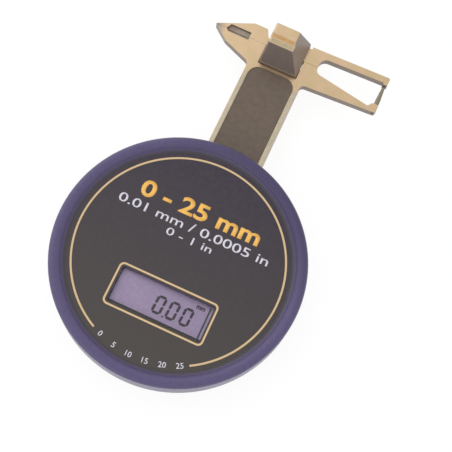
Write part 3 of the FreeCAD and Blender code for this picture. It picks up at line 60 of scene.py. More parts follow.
# Shader nodes. Most of a noise lies between NOISE_LOW and NOISE_HIGH. A face is upright where the upward
# part of its normal is under STEEP, and level where it is over SHALLOW. The moulding's own tint gives way
# to the rim's between the radii FACE_EDGE and RIM_EDGE.
NOISE_DETAIL = 3.0
NOISE_LOW = 0.3
NOISE_HIGH = 0.7
STEEP = 0.5
SHALLOW = 0.85
# Upright faces of a finish with a side tint are painted darker, as painted shade, and keep this share of
# metal.
SIDE_METALLIC = 0.15
FACE_EDGE = 26.55
RIM_EDGE = 27.45
COLOUR_INPUTS = (6, 7)
COLOUR_OUTPUT = 2
WHITE = (1.0, 1.0, 1.0, 1.0)


def link(tree, start, end):
    """Join two sockets."""
    tree.links.new(start, end)


def node(tree, kind, **settings):
    """A shader node with its properties set."""
    made = tree.nodes.new("ShaderNode" + kind)
    for name, value in settings.items():
        setattr(made, name, value)
    return made


def blank(name):
    """An empty material, its node tree and its output node."""
    made = bpy.data.materials.new(name)
    made.use_nodes = True
    tree = made.node_tree
    tree.nodes.clear()
    return made, tree, node(tree, "OutputMaterial")


def noise(tree, place, scale, stretch=(1.0, 1.0, 1.0)):
    """Noise in the object's own coordinates; scale is in cycles per metre."""
    mapping = node(tree, "Mapping")
    mapping.inputs["Scale"].default_value = stretch
    link(tree, place.outputs["Object"], mapping.inputs["Vector"])
    made = node(tree, "TexNoise")
    made.inputs["Scale"].default_value = scale
    made.inputs["Detail"].default_value = NOISE_DETAIL
    link(tree, mapping.outputs["Vector"], made.inputs["Vector"])
    return made.outputs["Fac"]


def ramp(tree, value, start, end, low=0.0, high=1.0):
    """Carry a value from one range over to another, held at its ends."""
    made = node(tree, "MapRange")
    for name, number in (("From Min", start), ("From Max", end), ("To Min", low), ("To Max", high)):
        made.inputs[name].default_value = number
    link(tree, value, made.inputs["Value"])
    return made.outputs["Result"]


def between(tree, noisy, low, high):
    """Spread a noise over a range of plain numbers."""
    return ramp(tree, noisy, NOISE_LOW, NOISE_HIGH, low, high)


def mixed(tree, factor, first, second):
    """Blend two colours, each a plain tint or what a node gives."""
    made = node(tree, "Mix", data_type="RGBA")
    link(tree, factor, made.inputs["Factor"])
    for slot, colour in zip(COLOUR_INPUTS, (first, second)):
        if isinstance(colour, tuple):
            made.inputs[slot].default_value = (*colour, 1.0)
        else:
            link(tree, colour, made.inputs[slot])
    return made.outputs[COLOUR_OUTPUT]


def levelness(tree, place):
    """1 on faces that look up or down, and 0 on upright ones."""
    split = node(tree, "SeparateXYZ")
    link(tree, place.outputs["Normal"], split.inputs["Vector"])
    upward = node(tree, "Math", operation="ABSOLUTE")
    link(tree, split.outputs["Z"], upward.inputs[0])
    return ramp(tree, upward.outputs[0], STEEP, SHALLOW)


def toward_far(tree, place, near, far, direction, start, end):
    """Blend a colour into another along a direction, between two places on it."""
    run = node(tree, "VectorMath", operation="DOT_PRODUCT")
    run.inputs[1].default_value = direction
    link(tree, place.outputs["Object"], run.inputs[0])
    return mixed(tree, ramp(tree, run.outputs["Value"], start * MM, end * MM), near, far)


def rim_share(tree, place):
    """Rise from 0 at the face to 1 at the rim around it."""
    flat = node(tree, "VectorMath", operation="MULTIPLY")
    flat.inputs[1].default_value = (1.0, 1.0, 0.0)
    link(tree, place.outputs["Object"], flat.inputs[0])
    radius = node(tree, "VectorMath", operation="LENGTH")
    link(tree, flat.outputs["Vector"], radius.inputs[0])
    return ramp(tree, radius.outputs["Value"], FACE_EDGE * MM, RIM_EDGE * MM)


def finish(name, dark, light, rough, metallic=0.0, grain=900.0, relief=0.0, relief_scale=4000.0,
           stretch=(1, 1, 1), side=None, far=None, outer=None, specular=0.5):
    """A surface with two blended tints, varied gloss and a fine relief in metres.

    far holds the far tint of toward_far, its direction and its two places. outer keeps that blend to the
    rim and is its near tint there. side tints the upright faces.
    """
    made, tree, out = blank(name)
    shader = node(tree, "BsdfPrincipled")
    link(tree, shader.outputs["BSDF"], out.inputs["Surface"])
    shader.inputs["Metallic"].default_value = metallic
    shader.inputs["Specular IOR Level"].default_value = specular
    place = node(tree, "TexCoord")
    broad = noise(tree, place, grain, stretch)
    colour = mixed(tree, between(tree, broad, 0.0, 1.0), dark, light)
    if outer:
        colour = mixed(tree, rim_share(tree, place), colour, toward_far(tree, place, outer, *far))
    elif far:
        colour = toward_far(tree, place, colour, *far)
    # Painted shade: upright faces take the darker side tint and lose most of their metal sheen.
    if side:
        level = levelness(tree, place)
        colour = mixed(tree, level, side, colour)
        link(tree, ramp(tree, level, 0.0, 1.0, SIDE_METALLIC, 1.0), shader.inputs["Metallic"])
    link(tree, colour, shader.inputs["Base Color"])
    fine = noise(tree, place, relief_scale, stretch)
    link(tree, between(tree, fine, *rough), shader.inputs["Roughness"])
    if relief:
        bump = node(tree, "Bump")
        bump.inputs["Strength"].default_value = 1.0
        bump.inputs["Distance"].default_value = relief
        link(tree, fine, bump.inputs["Height"])
        link(tree, bump.outputs["Normal"], shader.inputs["Normal"])
    return made


def clear_sheet(name):
    """A clear window that shows what is behind it and a thin reflection."""
    made, tree, out = blank(name)
    mix = node(tree, "MixShader")
    see = node(tree, "BsdfTransparent")
    gloss = node(tree, "BsdfGlossy")
    edge = node(tree, "Fresnel")
    edge.inputs["IOR"].default_value = 1.49
    smear = noise(tree, node(tree, "TexCoord"), 300.0)
    pale = mixed(tree, between(tree, smear, 0.0, 1.0), (0.95, 0.94, 0.97), (0.98, 0.97, 0.99))
    link(tree, pale, see.inputs["Color"])
    link(tree, between(tree, smear, 0.04, 0.09), gloss.inputs["Roughness"])
    link(tree, edge.outputs["Fac"], mix.inputs["Fac"])
    link(tree, see.outputs["BSDF"], mix.inputs[1])
    link(tree, gloss.outputs["BSDF"], mix.inputs[2])
    link(tree, mix.outputs["Shader"], out.inputs["Surface"])
    return made


# Materials of the imported nodes. BRUSHED draws the grain out along the arm. The case's painted shade, next,
# darkens the case toward its upper right: a tint, its direction, and where the blend starts and ends.
BRUSHED = (1.0, 0.06, 1.0)
CASE_PAINTED_SHADE = ((0.068, 0.055, 0.125), (0.515, 0.857, 0), 13, 29)
SLOTS = {
    "case_plastic": finish(
        "case_plastic", (0.096, 0.078, 0.168), (0.11, 0.09, 0.192), (0.24, 0.36), relief=3e-6,
        relief_scale=5000.0, specular=0.3, far=CASE_PAINTED_SHADE),
    # Painted light: the face's tint grows lighter and warmer toward its foot.
    "panel_print": finish(
        "panel_print", (0.024, 0.017, 0.034), (0.038, 0.026, 0.04), (0.4, 0.52), relief=2e-6,
        relief_scale=9000.0, far=((0.056, 0.047, 0.041), (0, -1, 0), -24, 24)),
    "clear_window": clear_sheet("clear_window"),
    "display": finish("display", (0.66, 0.54, 0.745), (0.74, 0.62, 0.83), (0.25, 0.35), grain=1500.0),
    "black_plastic": finish(
        "black_plastic", (0.02, 0.02, 0.021), (0.032, 0.031, 0.033), (0.4, 0.55), relief=4e-6),
    "connector_rubber": finish(
        "connector_rubber", (0.06, 0.06, 0.06), (0.6, 0.6, 0.6), (0.6, 0.8), grain=6000.0,
        stretch=(1.0, 0.0, 0.0)),
    "board": finish(
        "board", (0.012, 0.075, 0.03), (0.02, 0.12, 0.045), (0.25, 0.4), grain=2500.0, relief=3e-6),
    "ceramic": finish("ceramic", (0.34, 0.22, 0.12), (0.46, 0.32, 0.19), (0.35, 0.5), grain=4000.0),
    "copper": finish("copper", (0.6, 0.27, 0.14), (0.75, 0.38, 0.22), (0.2, 0.35), metallic=1.0),
    "nickel": finish("nickel", (0.5, 0.49, 0.46), (0.64, 0.63, 0.6), (0.12, 0.25), metallic=1.0),
    "cover_plastic": finish(
        "cover_plastic", (0.022, 0.02, 0.05), (0.034, 0.031, 0.07), (0.38, 0.52), relief=6e-6,
        relief_scale=3000.0),
    "button_plastic": finish("button_plastic", (0.016, 0.015, 0.026), (0.026, 0.024, 0.038), (0.2, 0.3)),
    "screw_steel": finish(
        "screw_steel", (0.38, 0.38, 0.39), (0.52, 0.52, 0.52), (0.2, 0.35), metallic=1.0, grain=2500.0),
    # Painted shade: the gold's upright faces take the darker grey-brown side tint below.
    "gold_aluminium": finish(
        "gold_aluminium", (0.624, 0.479, 0.276), (0.707, 0.513, 0.331), (0.26, 0.38), metallic=1.0,
        grain=260.0, relief=2.5e-6, relief_scale=9000.0, side=(0.25, 0.195, 0.165),
        far=((0.33, 0.285, 0.27), (-1, 0, 0), 15.6, 18.2)),
    "cover_strip": finish(
        "cover_strip", (0.12, 0.088, 0.063), (0.149, 0.109, 0.08), (0.42, 0.55), grain=700.0, relief=2e-6,
        relief_scale=8000.0),
    "bar_steel": finish(
        "bar_steel", (0.46, 0.44, 0.42), (0.6, 0.58, 0.55), (0.22, 0.36), metallic=1.0, relief=1.5e-6,
        stretch=BRUSHED),
    "spring_wire": finish("spring_wire", (0.36, 0.36, 0.36), (0.5, 0.5, 0.5), (0.2, 0.32), metallic=1.0),
    "plate_aluminium": finish(
        "plate_aluminium", (0.58, 0.58, 0.59), (0.7, 0.7, 0.7), (0.3, 0.42), metallic=1.0, relief=1.5e-6),
    "brass": finish("brass", (0.66, 0.46, 0.17), (0.78, 0.58, 0.25), (0.2, 0.32), metallic=1.0),
}

# Inks, which share one grain, and the materials of the pieces that are added here.
INK_GRAIN = 3000.0
GOLD_INK = finish("gold_ink", (0.64, 0.45, 0.235), (0.73, 0.53, 0.3), (0.4, 0.5), grain=INK_GRAIN)
TITLE_INK = finish("title_ink", (0.9, 0.48, 0.085), (0.96, 0.55, 0.125), (0.4, 0.5), grain=INK_GRAIN)
WHITE_INK = finish("white_ink", (0.66, 0.64, 0.73), (0.78, 0.76, 0.84), (0.4, 0.5), grain=INK_GRAIN)
SEGMENT_INK = finish("segment_ink", (0.036, 0.026, 0.04), (0.05, 0.037, 0.056), (0.3, 0.4), grain=INK_GRAIN)
EDGE_INK = finish("edge_ink", (0.085, 0.075, 0.105), (0.105, 0.092, 0.125), (0.3, 0.4), grain=INK_GRAIN)
MASK_INK = finish("mask_ink", (0.03, 0.024, 0.026), (0.042, 0.034, 0.036), (0.4, 0.5), grain=INK_GRAIN)
PALE_EDGE = finish("pale_edge", (0.64, 0.58, 0.75), (0.76, 0.7, 0.87), (0.3, 0.4), grain=INK_GRAIN)
NEEDLE_STEEL = finish(
    "needle_steel", (0.2, 0.17, 0.12), (0.3, 0.26, 0.19), (0.3, 0.42), metallic=1.0, stretch=BRUSHED)
# The cove's rim-side tint carries the case's painted shade, darker toward the upper right.
COVE_PLASTIC = finish(
    "cove_plastic", (0.037, 0.03, 0.042), (0.048, 0.039, 0.053), (0.3, 0.4), relief=2e-6,
    outer=(0.09, 0.072, 0.167), far=CASE_PAINTED_SHADE)
BEAD_GOLD = finish(
    "bead_gold", (0.5, 0.435, 0.325), (0.59, 0.515, 0.395), (0.3, 0.42), metallic=1.0, relief=2e-6)
# Painted shade and reflection: darker, browner copies of the gold for the thumb block's lip and slope.
LIP_PAINTED_SHADE = finish(
    "lip_painted_shade", (0.45, 0.375, 0.235), (0.53, 0.45, 0.285), (0.3, 0.42), metallic=1.0, relief=2e-6)
SLOPE_PAINTED_SHADE = finish(
    "slope_painted_shade", (0.52, 0.31, 0.14), (0.6, 0.37, 0.18), (0.3, 0.42), metallic=1.0, relief=2e-6)
# Painted shade: a dark grey for the floor of the relief in the beak, redder toward the tip.
RELIEF_PAINTED_SHADE = finish(
    "relief_painted_shade", (0.27, 0.245, 0.175), (0.42, 0.335, 0.275), (0.5, 0.65), grain=500.0, relief=4e-6,
    far=((0.36, 0.22, 0.2), (-1, 0, 0), 12.0, 15.5))
FRONT_DARK = finish("thumb_front_dark", (0.155, 0.122, 0.103), (0.185, 0.148, 0.125), (0.5, 0.62), relief=5e-6)

for part in frame["record"]["subparts"]:
    mesh = frame["nodes"][part["node"]].data
    mesh.materials.clear()
    mesh.materials.append(SLOTS[part["material_slot"]])
frame["nodes"]["jaw_needle"].data.materials[0] = NEEDLE_STEEL

# Camera at the photograph's viewing angle; the focal length matches a 36 mm wide sensor.
camera = placed("camera", bpy.data.cameras.new("camera"))
camera.location = (0.021722, -0.055970, 0.236862)
camera.rotation_euler = Euler(map(math.radians, (16.8333, -3.6208, 24.3632)))
camera.data.sensor_width = 36.0
camera.data.lens = 79.646
camera.data.clip_start = 0.01
camera.data.clip_end = 5.0
bpy.context.scene.camera = camera


# Outlines, as lists of points.
def polar(radius, degrees):
    """The point at a distance and an angle from the origin."""
    angle = math.radians(degrees)
    return (radius * math.cos(angle), radius * math.sin(angle))


def arc(radius, start, end, count):
    """Points along an arc, in degrees."""
    return [polar(radius, start + (end - start) * i / count) for i in range(count + 1)]


def circle(x, y, radius, count=40):
    """A round outline around a point."""
    return [(x + dx, y + dy) for dx, dy in arc(radius, 0, 360, count)[:-1]]


def rectangle(left, right, low, high):
    """A rectangle with sharp corners."""
    return [(left, low), (right, low), (right, high), (left, high)]


def rounded(left, right, low, high, radius, steps=6):
    """A rectangle with rounded corners."""
    points = []
    for x, y, start in (
        (right - radius, high - radius, 0),
        (left + radius, high - radius, 90),
        (left + radius, low + radius, 180),
        (right - radius, low + radius, 270),
    ):
        points += [(x + dx, y + dy) for dx, dy in arc(radius, start, start + 90, steps)]
    return points


def cross(x, y, reach, half):
    """The outline of a cross slot around a point."""
    corners = [
        (reach, -half), (reach, half), (half, half), (half, reach), (-half, reach), (-half, half),
        (-reach, half), (-reach, -half), (-half, -half), (-half, -reach), (half, -reach), (half, -half)]
    return [(x + dx, y + dy) for dx, dy in corners]


# Working meshes, in metres.
def loop(mesh, outline, level):
    """A closed run of vertices at a level."""
    return [mesh.verts.new((x * MM, y * MM, level * MM)) for x, y in outline]


def wall(mesh, first, second):
    """Faces between two loops of the same length."""
    for i in range(len(first)):
        mesh.faces.new((first[i - 1], first[i], second[i], second[i - 1]))


def cap(mesh, loops):
    """A flat face inside the first loop, with the others as holes in it."""
    edges = []
    for run in loops:
        for pair in zip(run, run[1:] + run[:1]):
            edges.append(mesh.edges.get(pair) or mesh.edges.new(pair))
    bmesh.ops.triangle_fill(mesh, use_beauty=True, edges=edges)


def thicken(mesh, step):
    """Give flat faces a thickness along a step in metres, and return the corners of the new side."""
    grown = bmesh.ops.extrude_face_region(mesh, geom=mesh.faces[:])
    lifted = [item for item in grown["geom"] if isinstance(item, bmesh.types.BMVert)]
    bmesh.ops.translate(mesh, verts=lifted, vec=step)
    bmesh.ops.recalc_face_normals(mesh, faces=mesh.faces[:])
    return lifted


def soften(mesh, edges, radius):
    """Round some edges off."""
    bmesh.ops.bevel(mesh, geom=edges, offset=radius * MM, segments=3, affect="EDGES")


def plate(outline, low, high, holes=()):
    """A flat plate between two levels."""
    mesh = bmesh.new()
    cap(mesh, [loop(mesh, run, low) for run in (outline, *holes)])
    thicken(mesh, (0, 0, (high - low) * MM))
    return mesh


def sheet(corners, low, high, edge):
    """A thin sheet on a sloping plane, from its corners and its levels along the plane's normal."""
    mesh = bmesh.new()
    points = [Vector(corner) * MM for corner in corners]
    normal = (points[1] - points[0]).cross(points[2] - points[1]).normalized()
    mesh.faces.new([mesh.verts.new(point + normal * low * MM) for point in points])
    lifted = thicken(mesh, normal * (high - low) * MM)
    soften(mesh, [e for e in mesh.edges if all(v in lifted for v in e.verts)], edge)
    return mesh


def data(mesh, name):
    """Turn a working mesh into mesh data."""
    made = bpy.data.meshes.new(name)
    mesh.to_mesh(made)
    mesh.free()
    return made


def joined(meshes):
    """One working mesh from several."""
    whole = bmesh.new()
    for mesh in meshes:
        part = data(mesh, "part")
        whole.from_mesh(part)
        bpy.data.meshes.remove(part)
    return whole


def piece(name, mesh, material, body):
    """Put a working mesh in the scene as a piece that rides on a body."""
    made = placed(name, data(mesh, name))
    made.data.materials.append(material)
    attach(made, body)
    return made


# Screws with cross slots, in the places of the plain ones. The slot's reach and half width are shares of
# the head's radius.
HEAD_ROUNDING = 0.12
ROUNDING_LIMIT = 0.7
ROUNDING_STEPS = 3
SLOT_REACH = 0.62
SLOT_HALF = 0.14
SHANK_SIDES = 24


def screw(x, y, head, low, seat, shank, top, slot_depth):
    """A screw driven from below, as one closed mesh: rounded head, cross slot and shank."""
    mesh = bmesh.new()
    rounding = min(HEAD_ROUNDING, slot_depth * ROUNDING_LIMIT)
    rim = []
    for step in range(ROUNDING_STEPS + 1):
        drop, spread = polar(rounding, 90 * step / ROUNDING_STEPS)
        rim.append(loop(mesh, circle(x, y, head - rounding + spread), low + rounding - drop))
    rim.append(loop(mesh, circle(x, y, head), seat))
    for lower, upper in zip(rim, rim[1:]):
        wall(mesh, lower, upper)
    outline = cross(x, y, head * SLOT_REACH, head * SLOT_HALF)
    slot = [loop(mesh, outline, level) for level in (low, low + slot_depth)]
    wall(mesh, *slot)
    stem = [loop(mesh, circle(x, y, shank, SHANK_SIDES), level) for level in (seat, top)]
    wall(mesh, *stem)
    cap(mesh, [rim[0], slot[0]])
    cap(mesh, [slot[1]])
    cap(mesh, [rim[-1], stem[0]])
    cap(mesh, [stem[1]])
    bmesh.ops.recalc_face_normals(mesh, faces=mesh.faces[:])
    return mesh


def screws(name, node_name, body, places, head, seat, shank, slot_depth):
    """Detailed screws in the places of a node's plain ones."""
    low, high = (corner.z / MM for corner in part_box(node_name))
    made = [screw(x, y, head, low, seat, shank, high, slot_depth) for x, y in places]
    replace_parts(piece(name, joined(made), SLOTS["screw_steel"], body), node_name)


CASE_SCREW_RADIUS = 24.2
CASE_SCREWS = [polar(CASE_SCREW_RADIUS, angle) for angle in (120, 220, 60, 320)]
ARM_SCREWS = [(x, y) for x in (6.1, -5.1) for y in (16.21, 23.2)]
JAW_SCREWS = [(0.8, 59.4), (0.8, 64.9)]
screws("back_screws", "case_screws", "case", CASE_SCREWS, head=1.4, seat=1.35, shank=0.75, slot_depth=0.5)
screws("arm_fixings", "arm_screws", "case", ARM_SCREWS, head=0.95, seat=0.5, shank=0.5, slot_depth=0.22)
screws("bar_fixings", "jaw_screws", "slide", JAW_SCREWS, head=0.95, seat=3.25, shank=0.5, slot_depth=0.22)

# Dark sheet on the front of the thumb block. Its outline is in x and in fractions of the front's height.
SINK = 0.05
FRONT_LOW = (57.21, 6.95)
FRONT_HIGH = (59.36, 14.05)
FRONT_DARK_HEIGHT = 0.14
FRONT_DARK_ROUND = 0.06
FRONT_DARK_OUTLINE = (
    (-2.9, 0.045), (4.9, 0.045), (5.2, 0.07), (5.22, 0.12), (3.05, 0.93), (2.85, 0.985), (2.6, 1.0),
    (-2.95, 1.0), (-3.15, 0.985), (-3.2, 0.93), (-3.78, 0.22), (-3.75, 0.13), (-3.5, 0.07))


def on_front(x, up):
    """A point of the block's front, at a fraction of its height."""
    y, z = (a + (b - a) * up for a, b in zip(FRONT_LOW, FRONT_HIGH))
    return (x, y, z)


front_dark = sheet([on_front(x, up) for x, up in FRONT_DARK_OUTLINE], -SINK, FRONT_DARK_HEIGHT, FRONT_DARK_ROUND)
piece("thumb_front_dark", front_dark, FRONT_DARK, "slide")

# Painted shade and reflection: thin sheets in darker, browner gold tints on the thumb block's top.
# Lower step of the block and the slope behind it, each from its front and back edge: left, right, y and z.
STEP_HEIGHT = 0.03
STEP_ROUND = 0.02
for name, shade_tint, front, back in (
    ("thumb_lip", LIP_PAINTED_SHADE, (-3.1, 2.75, 59.62, 14.3), (-3.1, 2.75, 60.72, 14.3)),
    ("thumb_slope", SLOPE_PAINTED_SHADE, (-3.12, 2.74, 60.98, 14.39), (-3.08, 2.55, 61.72, 14.91)),
):
    corners = [(edge[end], *edge[2:]) for edge, end in ((front, 1), (back, 1), (back, 0), (front, 0))]
    piece(name, sheet(corners, -SINK, STEP_HEIGHT, STEP_ROUND), shade_tint, "slide")

# Pale beads along the edges of the arm, beside the dark strip.
PLATE_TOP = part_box("fixed_jaw")[1].z / MM
ARM_LEFT = -6.85
ARM_RIGHT = 7.85
BEAD_LOW = 30.0
BEAD_HIGH = 53.6
BEAD_LEFT_INSET = 0.12
BEAD_RIGHT_INSET = 0.1
BEAD_HEIGHT = 0.09
BEAD_ROUND = 0.08
cover_left, cover_right = (corner.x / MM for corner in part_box("arm_cover"))
for name, left, right in (("bead_left", ARM_LEFT, cover_left), ("bead_right", cover_right, ARM_RIGHT)):
    outline = rectangle(left + BEAD_LEFT_INSET, right - BEAD_RIGHT_INSET, BEAD_LOW, BEAD_HIGH)
    bead = plate(outline, PLATE_TOP - SINK, PLATE_TOP + BEAD_HEIGHT)
    crest = [edge for edge in bead.edges if all(v.co.z > PLATE_TOP * MM for v in edge.verts)]
    soften(bead, crest, BEAD_ROUND)
    piece(name, bead, BEAD_GOLD, "case")

# Floor of the relief in the beak, one part on each side of the closed jaws; its dark grey is painted shade.
RELIEF_LOW = 4.75
RELIEF_TOP = 5.35
for name, body, outline in (
    ("relief_lower", "case", [(-15.6, 61.76), (-9.36, 61.76), (-9.36, 62.36), (-15.55, 62.36)]),
    ("relief_upper", "slide", [(-15.6, 62.5), (-9.36, 62.5), (-9.36, 63.89), (-14.87, 63.89)]),
):
    piece(name, plate(outline, RELIEF_LOW, RELIEF_TOP), RELIEF_PAINTED_SHADE, body)

# Hollow moulding where the face meets the rim.
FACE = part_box("face_panel")[1].z / MM
COVE_IN = 26.3
COVE_RADIUS = 1.365
COVE_TURN = 56.5
COVE_STEPS = 8
COVE_SINK = 0.01
COVE_SIDES = 240
HOLLOW_UPWARD = 0.02
profile = []
for step in range(COVE_STEPS + 1):
    angle = math.radians(COVE_TURN * step / COVE_STEPS)
    profile.append((COVE_IN + COVE_RADIUS * math.sin(angle), FACE + COVE_RADIUS * (1 - math.cos(angle))))
profile += [(profile[-1][0], FACE - COVE_SINK), (COVE_IN, FACE - COVE_SINK)]
cove = bmesh.new()
corners = [cove.verts.new((r * MM, 0, z * MM)) for r, z in profile]
edges = [cove.edges.new(pair) for pair in zip(corners, corners[1:] + corners[:1])]
bmesh.ops.spin(
    cove, geom=corners + edges, cent=(0, 0, 0), axis=(0, 0, 1), angle=2 * math.pi, steps=COVE_SIDES)
bmesh.ops.remove_doubles(cove, verts=cove.verts[:], dist=1e-7)
bmesh.ops.recalc_face_normals(cove, faces=cove.faces[:])
for face in cove.faces:
    face.smooth = face.normal.z > HOLLOW_UPWARD
piece("rim_cove", cove, COVE_PLASTIC, "case")

# Print on the face and on the display's glass. Each surface is a level and the slot of its print.
INK = 0.02
INK_SINK = 0.005
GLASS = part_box("lcd_glass")[1].z / MM
ON_FACE = (FACE, "panel_print")
ON_GLASS = (GLASS, "display")


def print_shape(name, outline, ink, surface, holes=(), height=INK):
    """Print a flat shape."""
    level, slot = surface
    piece(name, plate(outline, level - INK_SINK, level + height, holes), ink, "case")


# Ring with the gap at its foot.
RING_RADIUS = 25.0
RING_HALF = 0.235
RING_START = -59.5
RING_END = 244.5
RING_STEPS = 240
outer = arc(RING_RADIUS + RING_HALF, RING_START, RING_END, RING_STEPS)
inner = arc(RING_RADIUS - RING_HALF, RING_START, RING_END, RING_STEPS)
print_shape("print_ring", outer + inner[::-1], GOLD_INK, ON_FACE)

# Frame around the display window, which is smaller than the lens behind it by a ledge.
LENS_LEDGE = 0.8
lens_low, lens_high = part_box("window_lens")
WINDOW_LEFT = lens_low.x / MM + LENS_LEDGE
WINDOW_RIGHT = lens_high.x / MM - LENS_LEDGE
WINDOW_LOW = lens_low.y / MM + LENS_LEDGE
WINDOW_HIGH = lens_high.y / MM - LENS_LEDGE


def around_window(across, up, radius):
    """A rounded outline at some distance from the window's sides and from its top and foot."""
    return rounded(WINDOW_LEFT - across, WINDOW_RIGHT + across, WINDOW_LOW - up, WINDOW_HIGH + up, radius)


print_shape(
    "print_border", around_window(0.87, 0.91, 1.25), GOLD_INK, ON_FACE, [around_window(0.42, 0.46, 0.85)])


def lettering(text, bold):
    """Plain characters as a flat mesh that starts at the origin, one unit tall."""
    curve = bpy.data.curves.new("letters", "FONT")
    curve.body = text
    curve.size = 1.0
    curve.offset = bold
    curve.resolution_u = 4
    holder = placed("letters", curve)
    bpy.context.view_layer.update()
    shown = holder.evaluated_get(bpy.context.evaluated_depsgraph_get())
    flat = bpy.data.meshes.new_from_object(shown)
    bpy.data.objects.remove(holder)
    bpy.data.curves.remove(curve)
    mesh = bmesh.new()
    mesh.from_mesh(flat)
    bpy.data.meshes.remove(flat)
    bmesh.ops.remove_doubles(mesh, verts=mesh.verts[:], dist=1e-5)
    return mesh


def extent(mesh):
    """The left, right, lower and upper ends of a flat mesh."""
    xs = [v.co.x for v in mesh.verts]
    ys = [v.co.y for v in mesh.verts]
    return min(xs), max(xs), min(ys), max(ys)


def raise_ink(mesh, level):
    """Give flat characters the thickness of the ink on a level."""
    thicken(mesh, (0, 0, (INK + INK_SINK) * MM))
    bmesh.ops.translate(mesh, verts=mesh.verts[:], vec=(0, 0, (level - INK_SINK) * MM))


def print_line(name, text, box, ink, bold, surface=ON_FACE):
    """Print characters so that they fill a box of left, right, low and high."""
    mesh = lettering(text, bold)
    x0, x1, y0, y1 = extent(mesh)
    left, right, low, high = box
    for v in mesh.verts:
        v.co.x = (left + (v.co.x - x0) / (x1 - x0) * (right - left)) * MM
        v.co.y = (low + (v.co.y - y0) / (y1 - y0) * (high - low)) * MM
    level, slot = surface
    raise_ink(mesh, level)
    piece(name, mesh, ink, "case")


print_line("print_range", "0 - 25 mm", (-15.5, 15.2, 10.4, 14.7), TITLE_INK, bold=0.028)
print_line("print_step", "0.01 mm / 0.0005 in", (-19.3, 19.2, 7.0, 9.3), WHITE_INK, bold=0.006)
print_line("print_inches", "0 - 1 in", (-5.6, 6.0, 4.2, 6.1), WHITE_INK, bold=0.006)

# Small numbers along the gap of the ring, turned to face its middle.
SCALE_HEIGHT = 1.35
SCALE_BOLD = 0.01
SCALE_RADIUS = RING_RADIUS - 0.1
SCALE_START = -110.5
SCALE_STEP = 9.2
numbers = []
for step, number in enumerate(range(0, 26, 5)):
    mesh = lettering(str(number), SCALE_BOLD)
    x0, x1, y0, y1 = extent(mesh)
    scale = SCALE_HEIGHT * MM / (y1 - y0)
    angle = math.radians(SCALE_START + step * SCALE_STEP)
    middle = Vector((math.cos(angle), math.sin(angle), 0)) * SCALE_RADIUS * MM
    turn = Matrix.Rotation(angle + math.pi / 2, 3, "Z")
    for v in mesh.verts:
        flat = Vector(((v.co.x - (x0 + x1) / 2) * scale, (v.co.y - (y0 + y1) / 2) * scale, 0))
        v.co = middle + turn @ flat
    raise_ink(mesh, FACE)
    numbers.append(mesh)
piece("print_scale", joined(numbers), WHITE_INK, "case")

# Dark mask along the foot and the left of the display, with a cut corner between them.
MASK_LOW = -14.93
MASK_LEFT = -10.8
MASK_CORNER = 0.25
MASK_BEND = 0.07
MASK_HEIGHT = 0.01
mask = [
    (WINDOW_LEFT, WINDOW_LOW), (WINDOW_RIGHT, WINDOW_LOW), (WINDOW_RIGHT, MASK_LOW),
    (MASK_LEFT + MASK_CORNER, MASK_LOW), (MASK_LEFT + MASK_BEND, MASK_LOW + MASK_BEND),
    (MASK_LEFT, MASK_LOW + MASK_CORNER), (MASK_LEFT, WINDOW_HIGH), (WINDOW_LEFT, WINDOW_HIGH)]
print_shape("display_mask", mask, MASK_INK, ON_GLASS, height=MASK_HEIGHT)

# Digits of the reading, which lean a little, and the point behind the first.
DIGIT_WIDTH = 2.5
DIGIT_HEIGHT = 4.6
DIGIT_MIDDLES = (0.36, 3.8, 7.24)
DIGIT_LEVEL = -11.43
SEGMENT = 0.64
SEGMENT_GAP = 0.03
SLANT = math.tan(math.radians(3.0))
POINT = rounded(1.91, 2.35, -13.83, -13.39, 0.12, 3)


def segment_shapes():
    """The six outer segments of a digit, as hexagons around its middle."""
    wide = (DIGIT_WIDTH - SEGMENT) / 2
    tall = (DIGIT_HEIGHT - SEGMENT) / 2
    half = SEGMENT / 2
    side = wide - SEGMENT_GAP
    low = SEGMENT_GAP
    high = tall - SEGMENT_GAP
    across = [
        (-side, 0), (half - side, half), (side - half, half), (side, 0), (side - half, -half),
        (half - side, -half)]
    along = [
        (0, low), (half, low + half), (half, high - half), (0, high), (-half, high - half),
        (-half, low + half)]
    shapes = [[(x, y + shift) for x, y in across] for shift in (-tall, tall)]
    for shift in (-wide, wide):
        shapes.append([(x + shift, y) for x, y in along])
        shapes.append([(x + shift, y - tall) for x, y in along])
    return shapes


shapes = [[(x + px + py * SLANT, DIGIT_LEVEL + py) for px, py in shape]
          for x in DIGIT_MIDDLES for shape in segment_shapes()]
digits = [plate(shape, GLASS - INK_SINK, GLASS + INK) for shape in (*shapes, POINT)]
piece("display_digits", joined(digits), SEGMENT_INK, "case")
print_line("display_unit", "mm", (8.35, 10.5, -8.55, -7.7), SEGMENT_INK, bold=0.041, surface=ON_GLASS)

# Dark line and pale ledge at the right end of the display.
edge_line = rectangle(11.37, 11.78, MASK_LOW, WINDOW_HIGH - 0.2)
print_shape("display_edge", edge_line, EDGE_INK, ON_GLASS, height=0.03)
print_shape("display_ledge", rectangle(11.82, 12.3, MASK_LOW, WINDOW_HIGH), PALE_EDGE, ON_GLASS)

# Floor, light and background, in metres.
FLOOR_SIZE = 1.2
FLOOR_DROP = 0.00001
LAMP_AIM = Vector((0, 0.02, 0))


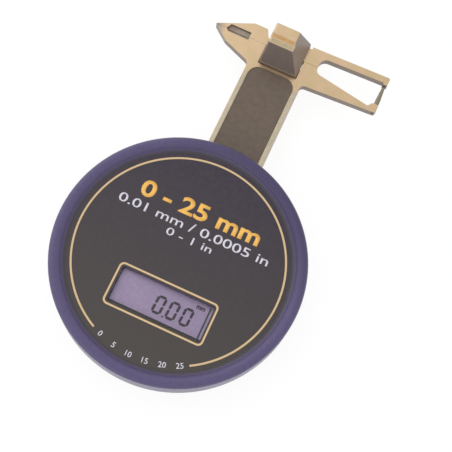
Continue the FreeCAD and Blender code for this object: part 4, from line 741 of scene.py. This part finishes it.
def floor_material():
    """Pale ground that keeps a soft shadow and shows white to the camera and in reflections."""
    made, tree, out = blank("floor")
    paths = node(tree, "LightPath")
    first = node(tree, "Math", operation="MAXIMUM")
    second = node(tree, "Math", operation="MAXIMUM")
    link(tree, paths.outputs["Is Camera Ray"], first.inputs[0])
    link(tree, paths.outputs["Is Glossy Ray"], first.inputs[1])
    link(tree, first.outputs[0], second.inputs[0])
    link(tree, paths.outputs["Is Transmission Ray"], second.inputs[1])
    plain = node(tree, "BsdfDiffuse")
    plain.inputs["Color"].default_value = (0.8, 0.8, 0.8, 1.0)
    lit = node(tree, "Emission")
    lit.inputs["Color"].default_value = WHITE
    lit.inputs["Strength"].default_value = 0.89
    shade = node(tree, "BsdfDiffuse")
    shade.inputs["Color"].default_value = (0.14, 0.14, 0.14, 1.0)
    both = node(tree, "AddShader")
    mix = node(tree, "MixShader")
    link(tree, lit.outputs["Emission"], both.inputs[0])
    link(tree, shade.outputs["BSDF"], both.inputs[1])
    link(tree, second.outputs[0], mix.inputs["Fac"])
    link(tree, plain.outputs["BSDF"], mix.inputs[1])
    link(tree, both.outputs["Shader"], mix.inputs[2])
    link(tree, mix.outputs["Shader"], out.inputs["Surface"])
    return made


def backdrop(tree, strength):
    """A plain white background."""
    made = node(tree, "Background")
    made.inputs["Color"].default_value = WHITE
    made.inputs["Strength"].default_value = strength
    return made.outputs["Background"]


def lamp(name, place, width, power):
    """A soft square lamp that faces the gauge."""
    light = bpy.data.lights.new(name, "AREA")
    light.size = width
    light.energy = power
    made = placed(name, light)
    made.location = place
    made.rotation_euler = (LAMP_AIM - Vector(place)).to_track_quat("-Z", "Y").to_euler()


ground = bmesh.new()
bmesh.ops.create_grid(ground, x_segments=2, y_segments=2, size=FLOOR_SIZE)
bmesh.ops.translate(ground, verts=ground.verts[:], vec=(0, 0, -FLOOR_DROP))
floor = placed("floor", data(ground, "floor"))
floor.data.materials.append(floor_material())

world = bpy.data.worlds.new("studio")
bpy.context.scene.world = world
world.use_nodes = True
tree = world.node_tree
tree.nodes.clear()
mix = node(tree, "MixShader")
link(tree, node(tree, "LightPath").outputs["Is Camera Ray"], mix.inputs["Fac"])
link(tree, backdrop(tree, 0.86), mix.inputs[1])
link(tree, backdrop(tree, 1.0), mix.inputs[2])
link(tree, mix.outputs["Shader"], node(tree, "OutputWorld").inputs["Surface"])

lamp("key", (-0.8, 0.38, 0.6), width=1.4, power=3.6)
lamp("fill", (-0.35, -0.85, 0.4), width=0.9, power=1.2)
bpy.context.scene.view_settings.view_transform = "Standard"
